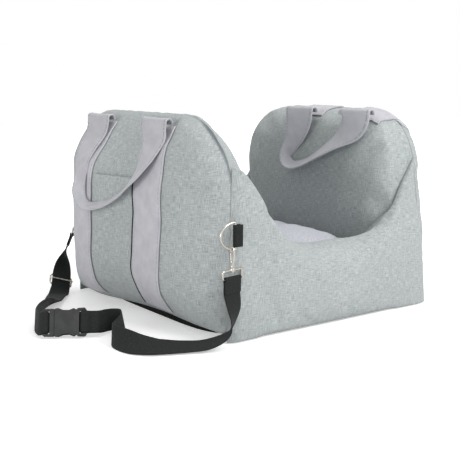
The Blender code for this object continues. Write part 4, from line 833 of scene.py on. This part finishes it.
def wall_points(sign, inset=0.0):
    """Outer panel, inner panel, and the closed loop between them, with the distance from the seam.

    Sums of sines are added to both faces: puckers, short waves along the seam that fade 20 mm in from it; slack,
    long soft waves in the face; and drag, the creases in the top corner of the wall with the pocket. An inset
    draws the whole form in evenly, for the filling under the cover.
    """
    y, z = wall_grid(sign)
    edge = from_edges(y, z, sign)
    d = np.minimum(edge, z - WALL_FOOT)
    around = np.arctan2(z - 0.17, y) * 0.21
    gather = ripple(around, (0.0147, 0.0211, 0.0333), 3 if sign < 0 else 8)
    patch = 0.3 + 0.7 * ease(0.5 + 1.2 * ripple(around, (0.13, 0.21), 5 if sign < 0 else 6))
    puckers = gather * patch * np.exp(-d / 0.020) * ease(d / 0.004) * ease((z - 0.10) / 0.1) * 0.0022
    slack = (0.0010 * ripple(y + 0.35 * z, (0.093, 0.061), 11)
             + 0.0012 * ripple(z - 0.2 * y, (0.12, 0.075), 12)) * ease(d / 0.05)
    drag = 0.0052 * ripple(z + 0.22 * y, (0.019, 0.029), 21) * np.exp(-((y + 0.205) / 0.035) ** 2)
    drag = drag * np.exp(-((z - 0.262) / 0.042) ** 2) * ease(d / 0.006) * (sign < 0)
    out = outer_face(y, z, sign, edge) + puckers + slack + drag - inset
    inner = inner_face(y, z, sign, edge) + puckers * 0.5 + slack + inset
    y, z = y * (1 - 1.6 * inset / WALL_END), z + 1.6 * inset * (1 - 2 * z / HEIGHT)
    front, back = (np.stack([sign * x, y, z], -1) for x in (out, np.minimum(inner, out - 0.004)))
    edge = rim_of(front)
    run = unit(np.roll(edge, -1, axis=0) - np.roll(edge, 1, axis=0))
    outward = unit(np.stack([0 * run[:, 0], run[:, 2], -run[:, 1]], -1))
    bulge = 0.0012 * ease((edge[:, 2] - 0.22) / 0.08) + 0.0002
    bulge = bulge * (1 + 0.35 * ripple(along(edge), (0.031, 0.047), 14))
    return front, back, band_between(edge, rim_of(back), outward, bulge, 6), d


def pillow(name, front, back, loop, d, flip, sewn=1.0):
    """Two panels and the strip between them, welded at the seams; the pin mark holds the seams while it is filled.

    The seam mark, painted shade along the seams, fades with sewn, a share of 0 to 1 for each point of the front panel.
    """
    row, col = front.shape[0] // 2, front.shape[1] // 2
    lie = [(down - down[row], over - over[:, col:col + 1])
           for down, over in ((spread(face, 0), spread(face, 1)) for face in (front, back))]
    travel = along(np.concatenate([loop[:, 0], loop[:1, 0]]))
    strip = along(loop[0]) + 1.0
    # Painted shade within about 3 mm of each seam, which the cloth material darkens.
    seam_shadow_panel = np.exp(-(d / 0.0030) ** 2) * sewn
    edge = np.minimum(np.arange(loop.shape[1]), np.arange(loop.shape[1])[::-1])
    seam_shadow_loop = np.where(np.arange(loop.shape[1]) == 0, 1.0, 0.0) * rim_of((sewn + 0 * d)[..., None])
    pin_panel = np.exp(-(d / 0.004) ** 2)
    pin_loop = np.tile(np.where(edge == 0, 1.0, 0.55), (loop.shape[0], 1))
    marks = {"seam": np.concatenate([seam_shadow_panel.ravel(), 0 * seam_shadow_panel.ravel(), seam_shadow_loop.ravel()]),
             "pin": np.concatenate([pin_panel.ravel(), pin_panel.ravel(), pin_loop.ravel()])}
    parts = [part(front, *lie[0], flip=flip), part(back, lie[1][0], lie[1][1] + 0.7, flip=not flip),
             part(loop, travel, strip, close_rows=True)]
    return build(name, parts, marks)


def fill_out(jobs, frames=16):
    """Fill cloth covers: pressure inside, slightly over-long cloth, seams held; each point moves at most a cap."""
    scene = bpy.context.scene
    before = {}
    for obj, pressure, _ in jobs:
        held = np.empty(len(obj.data.vertices), np.float32)
        obj.data.attributes["pin"].data.foreach_get("value", held)
        group = obj.vertex_groups.new(name="seams")
        for low, high in ((0.9, 1.01), (0.6, 0.9), (0.3, 0.6), (0.1, 0.3)):
            group.add(np.flatnonzero((held >= low) & (held < high)).tolist(), min(high, 1.0), "REPLACE")
        cloth = obj.modifiers.new("Filled", "CLOTH")
        for key, value in (("vertex_group_mass", "seams"), ("quality", 4), ("mass", 0.25),
                           ("tension_stiffness", 14.0), ("compression_stiffness", 14.0), ("shear_stiffness", 6.0),
                           ("bending_stiffness", 0.6), ("shrink_min", -0.012), ("shrink_max", -0.012),
                           ("use_pressure", True), ("uniform_pressure_force", pressure)):
            setattr(cloth.settings, key, value)
        cloth.settings.effector_weights.gravity = 0.0
        cloth.collision_settings.use_collision = False
        cloth.collision_settings.use_self_collision = False
        cloth.point_cache.frame_start, cloth.point_cache.frame_end = 1, frames
        before[obj.name] = points_of(obj.data)
    scene.frame_start, scene.frame_end = 1, frames
    for number in range(1, frames + 1):
        scene.frame_set(number)
    for obj, _, cap in jobs:
        move = points_of(obj.evaluated_get(bpy.context.evaluated_depsgraph_get()).data) - before[obj.name]
        reach = np.linalg.norm(move, axis=1, keepdims=True)
        move *= cap * np.tanh(reach / cap) / np.maximum(reach, 1e-9)
        obj.modifiers.clear()
        obj.vertex_groups.clear()
        obj.data.vertices.foreach_set("co", (before[obj.name] + move).ravel())
        obj.data.update()
    scene.frame_set(1)


# Low sides

def mean_near(function, x, reach=0.011):
    """A function's mean over a short window, which rounds its corners."""
    return sum(function(x + o) for o in np.linspace(-reach, reach, 9)) / 9


def rim_height(x):
    """Height of a low side's rim: flat in the middle, then up to the corner of each tall wall.

    It climbs later on the side of the wall without the pocket.
    """
    out = (0.0, 0.03, 0.07, 0.11, 0.13, 0.15, 0.17, 0.19, 0.21, 0.232)
    left = np.interp(0.012 - x, out, (0.0, 0.0, 0.007, 0.029, 0.047, 0.070, 0.094, 0.117, 0.137, 0.147))
    right = np.interp(x - 0.012, out, (0.0, 0.0, 0.003, 0.015, 0.030, 0.054, 0.083, 0.111, 0.136, 0.147))
    return RIM_LOW + np.maximum(left, right)


def side_depth(x):
    """Thickness of a low side: full beside the cushion, and a flap where it lies over a tall wall's end."""
    return np.interp(np.abs(x), (0.1385, 0.1408, 0.1452, 0.1523, 0.1619, 0.172, 0.205, 0.218),
                     (0.085, 0.0835, 0.0435, 0.0255, 0.0165, 0.0135, 0.0115, 0.0098))


def side_points(sign, inset=0.0):
    """A low side's closed section at each place along it, and each point's share of the rim's height.

    The section runs up the outer face, over the rounded rim, down the inner face and back under the foot.
    Toward the tall walls the rim slopes inward and its round edge gets smaller. The outer face is full like a
    sine of the height, and sums of sines give it its folds, and beside the walls the pull of the seams.
    """
    reach = FIBRE_REACH if inset else SIDE_REACH
    x = reach * crowded(131, 0.43)[:, None]
    beside = ease((np.abs(x) - 0.05) / 0.085)
    rim = mean_near(rim_height, x) - inset
    outer = HALF_DEPTH - inset - (corner_arc(1.0) - corner_arc((SIDE_REACH - np.abs(x)) * 0.93))
    inner = np.minimum(HALF_DEPTH - mean_near(side_depth, x, 0.004) + 0.0002 + inset, outer - 0.0008)
    cap = np.minimum((outer - inner) / 2, 0.042 - 0.018 * beside)
    toe = np.minimum(0.012, (outer - inner) / 2 * 0.9)
    low = 0.0012 + inset
    up_low, up_high = low + toe, rim - cap
    in_high = rim - 0.034 * beside * ease((0.1485 - np.abs(x)) / 0.012) - cap
    quarter = np.linspace(0, math.pi / 2, 10)
    rise, turn = np.linspace(0, 1, 26)[1:-1], quarter[::2]
    y = [outer + 0 * rise, outer - cap + cap * np.cos(quarter), inner + cap - cap * np.sin(quarter),
         inner + 0 * rise, inner + toe - toe * np.cos(turn), outer - toe + toe * np.sin(turn)]
    z = [up_low + (up_high - up_low) * rise, up_high + cap * np.sin(quarter), in_high + cap * np.cos(quarter),
         in_high + (up_low - in_high) * rise, up_low - toe * np.sin(turn), up_low - toe * np.cos(turn)]
    y, z = np.concatenate(y, 1), np.concatenate(z, 1)
    x = x + 0 * y
    face = np.clip((y - inner) / (outer - inner), 0, 1)
    share = np.clip((z - low) / (rim - low), 0, 1)
    full = 0.011 * (1 - (x / HALF_LENGTH) ** 2) ** 2 * np.sin(math.pi * share ** 0.8)
    folds = 0.0011 * ripple(x + 0.5 * z, (0.055, 0.083), 31) + 0.0009 * ripple(z - 0.25 * x, (0.037, 0.060), 32)
    pull = 0.0022 * ripple(z + 0.2 * np.abs(x), (0.019, 0.030), 33 + sign) * ease((np.abs(x) - 0.14) / 0.05)
    pull = pull * ease((SIDE_REACH - np.abs(x)) / 0.012) * ease((share - 0.25) / 0.4)
    y = y + (full + (folds + pull) * np.sin(math.pi * share) * (inset == 0)) * face
    left, right = (np.interp(z, *CORNER_AT[(sign, wall)]) - SIDE_REACH for wall in (-1, 1))
    x = x + np.clip((np.abs(x) - 0.10) / 0.1305, 0, 1) ** 3 * np.where(x > 0, right, -left)
    y = y - drawn_in(z, 1, sign) * ease((x - 0.12) / 0.06)
    return np.stack([x, sign * y, z], -1), share


def low_side(side, sign, inset=0.0):
    """One low side as a cover, closed at its ends and marked for filling, or with an inset the filling in it."""
    grid, share = side_points(sign, inset)
    ends = [np.repeat(grid[i].mean(axis=0)[None, None], grid.shape[1], axis=1) for i in (0, -1)]
    whole = np.concatenate([ends[0], grid, ends[1]])
    around = spread(np.concatenate([whole, whole[:, :1]], axis=1), 1)
    around[0], around[-1] = around[1], around[-2]
    travel = np.concatenate([whole[..., 0], whole[:, :1, 0]], axis=1)
    sheet = [part(whole, travel, around, close_cols=True)]
    if inset:
        return build(f"{side}_side_fibre", sheet)
    foot, flap = (np.pad(held, ((1, 1), (0, 0)), constant_values=1.0)
                  for held in (1 - ease(share / 0.06), ease((np.abs(grid[..., 0]) - 0.14) / 0.02)))
    pin = np.maximum(foot, flap * 0.95)
    pin[:3] = pin[-3:] = 1.0
    return build(f"{side}_side_cloth", sheet, {"seam": 0 * pin, "pin": pin})


# Seat cushion

def cushion(inset=0.0):
    """A boxed pad: crowned top and flat underside on a grid with rounded corners, and a bowed strip between.

    With an inset it is the foam.
    """
    half_x, half_y, low, edge = 0.1372 - inset, 0.1632 - inset, 0.0170 + inset, 0.119 - inset
    u, v = np.meshgrid(np.linspace(-1, 1, 41), np.linspace(-1, 1, 47))
    x = half_x * u * np.sqrt(1 - 0.20 * v ** 2 * np.abs(u) ** 3)
    y = half_y * v * np.sqrt(1 - 0.20 * u ** 2 * np.abs(v) ** 3)
    d = np.minimum(half_x * (1 - np.abs(u)), half_y * (1 - np.abs(v)))
    crown = 0.022 * (1 - u ** 4) ** 0.7 * (1 - v ** 4) ** 0.7
    creases = 0.0016 * ripple(x + 0.6 * y, (0.061, 0.088), 41) + 0.0014 * ripple(y - 0.4 * x, (0.047, 0.074), 42)
    top = np.stack([x, y, edge + crown + creases * ease(d / 0.04)], -1)
    foot = np.stack([x, y, low + 0 * x], -1)
    ring = rim_of(top)
    run = unit(np.roll(ring, -1, axis=0) - np.roll(ring, 1, axis=0))
    outward = unit(np.stack([run[:, 1], -run[:, 0], 0 * run[:, 0]], -1))
    loop = band_between(ring, rim_of(foot), outward, np.full(len(ring), 0.0006), 10)
    return pillow("seat_pad_foam" if inset else "seat_pad_cloth", top, foot, loop, d, False)


def soft_parts():
    """Walls, sides and cushion: shaped, filled by simulation, and dressed."""
    pieces = {}
    for name, sign in (("left", -1), ("right", 1)):
        front, back, loop, d = wall_points(sign)
        # Where the seams' painted shade shows on the walls: toward their ends, above about 205 mm.
        sewn = ease((np.abs(front[..., 1]) - 0.13) / 0.06) * ease((front[..., 2] - 0.205) / 0.02)
        pieces[name] = pillow(f"{name}_wall_cloth", front, back, loop, d, sign < 0, sewn)
        fibre = pillow(f"{name}_wall_fibre", *wall_points(sign, FIBRE_INSET), sign < 0)
        dress(fibre, FIBRE, "bed", "filling", f"{name}_wall_filling")
    for name, sign in (("near", -1), ("far", 1)):
        pieces[name] = low_side(name, sign)
        dress(low_side(name, sign, FIBRE_INSET), FIBRE, "bed", "filling", f"{name}_side_filling")
    pieces["seat"] = cushion()
    dress(cushion(FOAM_INSET), FOAM, "seat_cushion", "foam", "seat_cushion_foam")
    fill_out([(pieces[name], pressure, cap) for name, pressure, cap in (
        ("left", 1.6, 0.003), ("right", 1.6, 0.003), ("near", 1.0, 0.003), ("far", 1.0, 0.003),
        ("seat", 1.2, 0.004))])
    for obj in pieces.values():
        subdivide(obj)
    for name, kind, firm in (("left", "wall", 0.8), ("right", "wall", 0.8),
                             ("near", "side", 0.7), ("far", "side", 0.7)):
        dress(pieces[name], MELANGE, "bed", "melange_cloth", f"{name}_{kind}_cover")
    dress(pieces["seat"], LAVENDER, "seat_cushion", "cushion_cloth", "seat_cushion_cover")
    return pieces


SOFT = soft_parts()


# Bands, pocket and handles

BEHIND = -0.36      # X from where cloth is laid on the left wall along X
FOLD_AXIS = {-1: (-0.25419, 0.3565), 1: (0.1443, 0.3645)}      # X and Z of the handles' fold axes
HANDLE_FOLD = 0.007


def lay_on(obj, wall, lift, method):
    """Lay a sheet of cloth on a wall: along X, or to the nearest place, and lifted off it."""
    wrap = obj.modifiers.new("Laid", "SHRINKWRAP")
    wrap.target = wall
    wrap.wrap_method = method
    if method == "PROJECT":
        wrap.use_project_x = wrap.use_positive_direction = True
        wrap.use_project_y = wrap.use_project_z = wrap.use_negative_direction = False
    else:
        wrap.wrap_mode = "ABOVE_SURFACE"
    wrap.offset = lift
    return settle(obj)


def thicken(obj, thickness, offset=1.0):
    """Give a sheet of cloth its thickness, outward or with offset 0 to both sides, and softened edges."""
    shell = obj.modifiers.new("Thick", "SOLIDIFY")
    shell.thickness = thickness
    shell.offset = offset
    bevel = obj.modifiers.new("Edge", "BEVEL")
    bevel.width = thickness * 0.3
    bevel.segments = 2
    bevel.limit_method = "ANGLE"
    settle(obj)


def over_the_top(y):
    """Path round the right wall at each y: up its outside, over its crest and in to the handle's folds.

    Over the crest it is a parabola, highest at x = 0.212, that drops 6 mm in the first 60 mm.
    """
    z = np.linspace(BAND_FOOT, 0.362, 80)[:, None]
    out = np.stack([outer_face(y, z, 1) + 0.003, y + 0 * z, z + 0 * y], -1)
    x = np.linspace(0.238, 0.153, 30)[:, None]
    over = np.stack([x + 0 * y, y + 0 * x, HEIGHT - 0.001 - 0.006 * ((x - 0.212) / 0.06) ** 2 + 0 * y], -1)
    return np.concatenate([out, over])


def bands():
    """Four bands sewn up the walls' outer faces; the right wall's go over its top to the handle's folds."""
    across = np.linspace(-BAND_WIDTH / 2, BAND_WIDTH / 2, 25)
    for end, shift in (("near", -1), ("far", 1)):
        z, y = np.meshgrid(np.linspace(BAND_FOOT, 0.350, 84), across, indexing="ij")
        left = np.stack([BEHIND + 0 * y, LEFT_MIDDLE + shift * LEFT_HALF + y, z], -1)
        right = over_the_top(RIGHT_MIDDLE + shift * RIGHT_HALF + across[None])
        for wall, grid, travel, lift, method in (("left", left, z[:, 0], 0.0012, "PROJECT"),
                                                 ("right", right, along(right[:, 12]), 0.0008, "TARGET_PROJECT")):
            band = build(f"{wall}_{end}_band_cloth", [part(grid, travel, across)])
            thicken(lay_on(band, SOFT[wall], lift, method), BAND_CLOTH)
            dress(band, BAND_SUEDE, "bed", "lilac_cloth", f"{wall}_{end}_band")


def pocket():
    """The patch pocket: cloth that stands off the wall most at its open top, and a black strip beside its near edge,
    painted shadow of the gap between pocket and band.
    """
    half = LEFT_HALF - BAND_WIDTH / 2 - 0.004
    y, z = np.meshgrid(np.linspace(-half, half, 41) + LEFT_MIDDLE, np.linspace(POCKET_FOOT, POCKET_TOP, 60))
    sheet = build("pocket_cloth", [part(np.stack([BEHIND + 0 * y, y, z], -1), z[:, 0], y[0])])
    lay_on(sheet, SOFT["left"], 0.001, "PROJECT")
    co = points_of(sheet.data)
    u = (co[:, 1] - LEFT_MIDDLE) / half
    v = np.clip((co[:, 2] - POCKET_FOOT) / (POCKET_TOP - POCKET_FOOT), 0, 1)
    sag = 0.0010 * ripple(co[:, 2] + 0.4 * co[:, 1], (0.05, 0.08), 51) * (1 - u ** 2)
    co[:, 0] -= 0.0048 * (1 - u ** 6) * ease(v * 2.2) + sag
    sheet.data.vertices.foreach_set("co", co.ravel())
    thicken(sheet, POCKET_CLOTH, 0.0)
    dress(sheet, MELANGE, "bed", "melange_cloth", "left_pocket")
    # Painted shadow: a black strip in the gap between the pocket's near edge and the near band, where shade falls.
    y, z = np.meshgrid(np.linspace(-0.0016, 0.0016, 4) + LEFT_MIDDLE - half - 0.0022, np.linspace(0.034, 0.252, 60))
    edge = build("pocket_edge_shadow_strip", [part(np.stack([BEHIND + 0 * y, y, z], -1), z[:, 0], y[0])])
    thicken(lay_on(edge, SOFT["left"], 0.0010, "PROJECT"), 0.0030)
    dress(edge, POCKET_GAP_SHADOW, "bed", "melange_cloth")


# A hanging strap from its far fold to its near one: along the wall from the middle, drop below the folds,
# width, and share of its turn from lying flat to standing out from the wall
LEFT_HANG = ((0.099, 0.010, 0.083, 0.0), (0.100, 0.030, 0.080, 0.0), (0.099, 0.055, 0.070, 0.0),
             (0.094, 0.077, 0.054, 0.02), (0.087, 0.095, 0.039, 0.08), (0.081, 0.111, 0.030, 0.30),
             (0.075, 0.130, 0.026, 0.60), (0.067, 0.147, 0.023, 0.82), (0.051, 0.156, 0.023, 0.90),
             (0.028, 0.154, 0.023, 0.91), (0.001, 0.146, 0.023, 0.90), (-0.029, 0.130, 0.024, 0.80),
             (-0.058, 0.109, 0.028, 0.60), (-0.082, 0.085, 0.038, 0.35), (-0.095, 0.058, 0.054, 0.12),
             (-0.100, 0.030, 0.074, 0.0), (-0.099, 0.010, 0.083, 0.0))
RIGHT_HANG = ((0.080, 0.010, 0.083, 0.0), (0.083, 0.026, 0.076, 0.0), (0.090, 0.046, 0.060, 0.03),
              (0.099, 0.064, 0.043, 0.12), (0.108, 0.080, 0.031, 0.35), (0.1125, 0.094, 0.026, 0.60),
              (0.106, 0.106, 0.025, 0.80), (0.086, 0.111, 0.025, 0.88), (0.056, 0.104, 0.026, 0.85),
              (0.026, 0.0905, 0.030, 0.72), (-0.004, 0.0745, 0.036, 0.55), (-0.032, 0.057, 0.044, 0.35),
              (-0.056, 0.040, 0.055, 0.15), (-0.073, 0.024, 0.070, 0.03), (-0.080, 0.010, 0.083, 0.0))


def handle(side, sign, middle, half, hang):
    """A carry strap that hangs from two folds, wide at the folds, narrow and turned over at the grip.

    It lies against the wall's face, or stands off it where it is turned over.
    """
    axis_x, axis_z = FOLD_AXIS[sign]
    cover = 0.0045 if sign < 0 else 0.0
    turn = np.radians(np.linspace(-25, 144, 6))
    rows = [(axis_x + HANDLE_FOLD * math.cos(a), half, axis_z + HANDLE_FOLD * math.sin(a), 0.0, 1.0, 0.0, BAND_WIDTH)
            for a in turn]
    last = [(x, -y, z, 0.0, -1.0, 0.0, width) for x, y, z, _, _, _, width in rows[::-1]]
    for number, (y, drop, width, twist) in enumerate(hang):
        z = axis_z - drop
        flat = (1 - twist) * (1 if 2 * number < len(hang) - 1 else -1)
        across = unit(np.array((-twist, flat, -0.7 * twist)))
        face = (outer_face if sign < 0 else inner_face)(y + middle, z, sign)
        stand = sign * float(face) - cover - 0.004 + across[0] * width / 2
        rows.append((min(axis_x - HANDLE_FOLD, stand), y, z, *across, width))
    path = curve_through(np.array(rows + last), 0.004)
    path[:, 1] += middle
    strip = strap(f"{side}_carry_strap", path[:, :3], path[:, 3:6], path[:, 6], GRIP_CLOTH, camber=0.0012, cells=20)
    dress(strip, GRIP_SUEDE, f"{side}_carry_handle", "lilac_cloth", f"{side}_handle")


bands()
pocket()
handle("left", -1, LEFT_MIDDLE, LEFT_HALF, LEFT_HANG)
handle("right", 1, RIGHT_MIDDLE, RIGHT_HALF, RIGHT_HANG)


# Base, and the solids that stay

def base():
    """The non-slip base: a slab whose outline is a superellipse, |x/a|^5.3 + |y/b|^5.3 = 1, with a rounded edge."""
    turn = np.linspace(0, 2 * math.pi, 160, endpoint=False)
    half_x, half_y, thick = 0.221, 0.222, 0.012
    cx, cy = (np.sign(w) * np.abs(w) ** 0.38 for w in (np.cos(turn), np.sin(turn)))
    rings = []
    for a in np.linspace(-math.pi / 2, math.pi / 2, 9):
        inset = 0.0035 * (1 - math.cos(a))
        height = thick / 2 * (1 + math.sin(a))
        rings.append(np.stack([cx * (half_x - inset), cy * (half_y - inset), height + 0 * cx], -1))
    grid = np.stack([rings[0] * (0, 0, 1)] + rings + [rings[-1] * (0, 0, 1)])
    obj = build("base_cloth_pad", [part(grid, np.arange(len(grid)) * 0.004, np.arange(161) * 0.011, close_cols=True)])
    dress(obj, BASE_CLOTH, "bed", "base_cloth", "base_pad")


base()
KEPT = {"base_board": BOARD, "cushion_zip": ZIP_TAPE, "cushion_zip_slider": NICKEL, "buckle_female": ACETAL,
        "buckle_male": ACETAL, "buckle_prong_lower": ACETAL, "buckle_prong_upper": ACETAL}
for node, material in KEPT.items():
    for slot in NODES[node].material_slots:
        slot.material = material
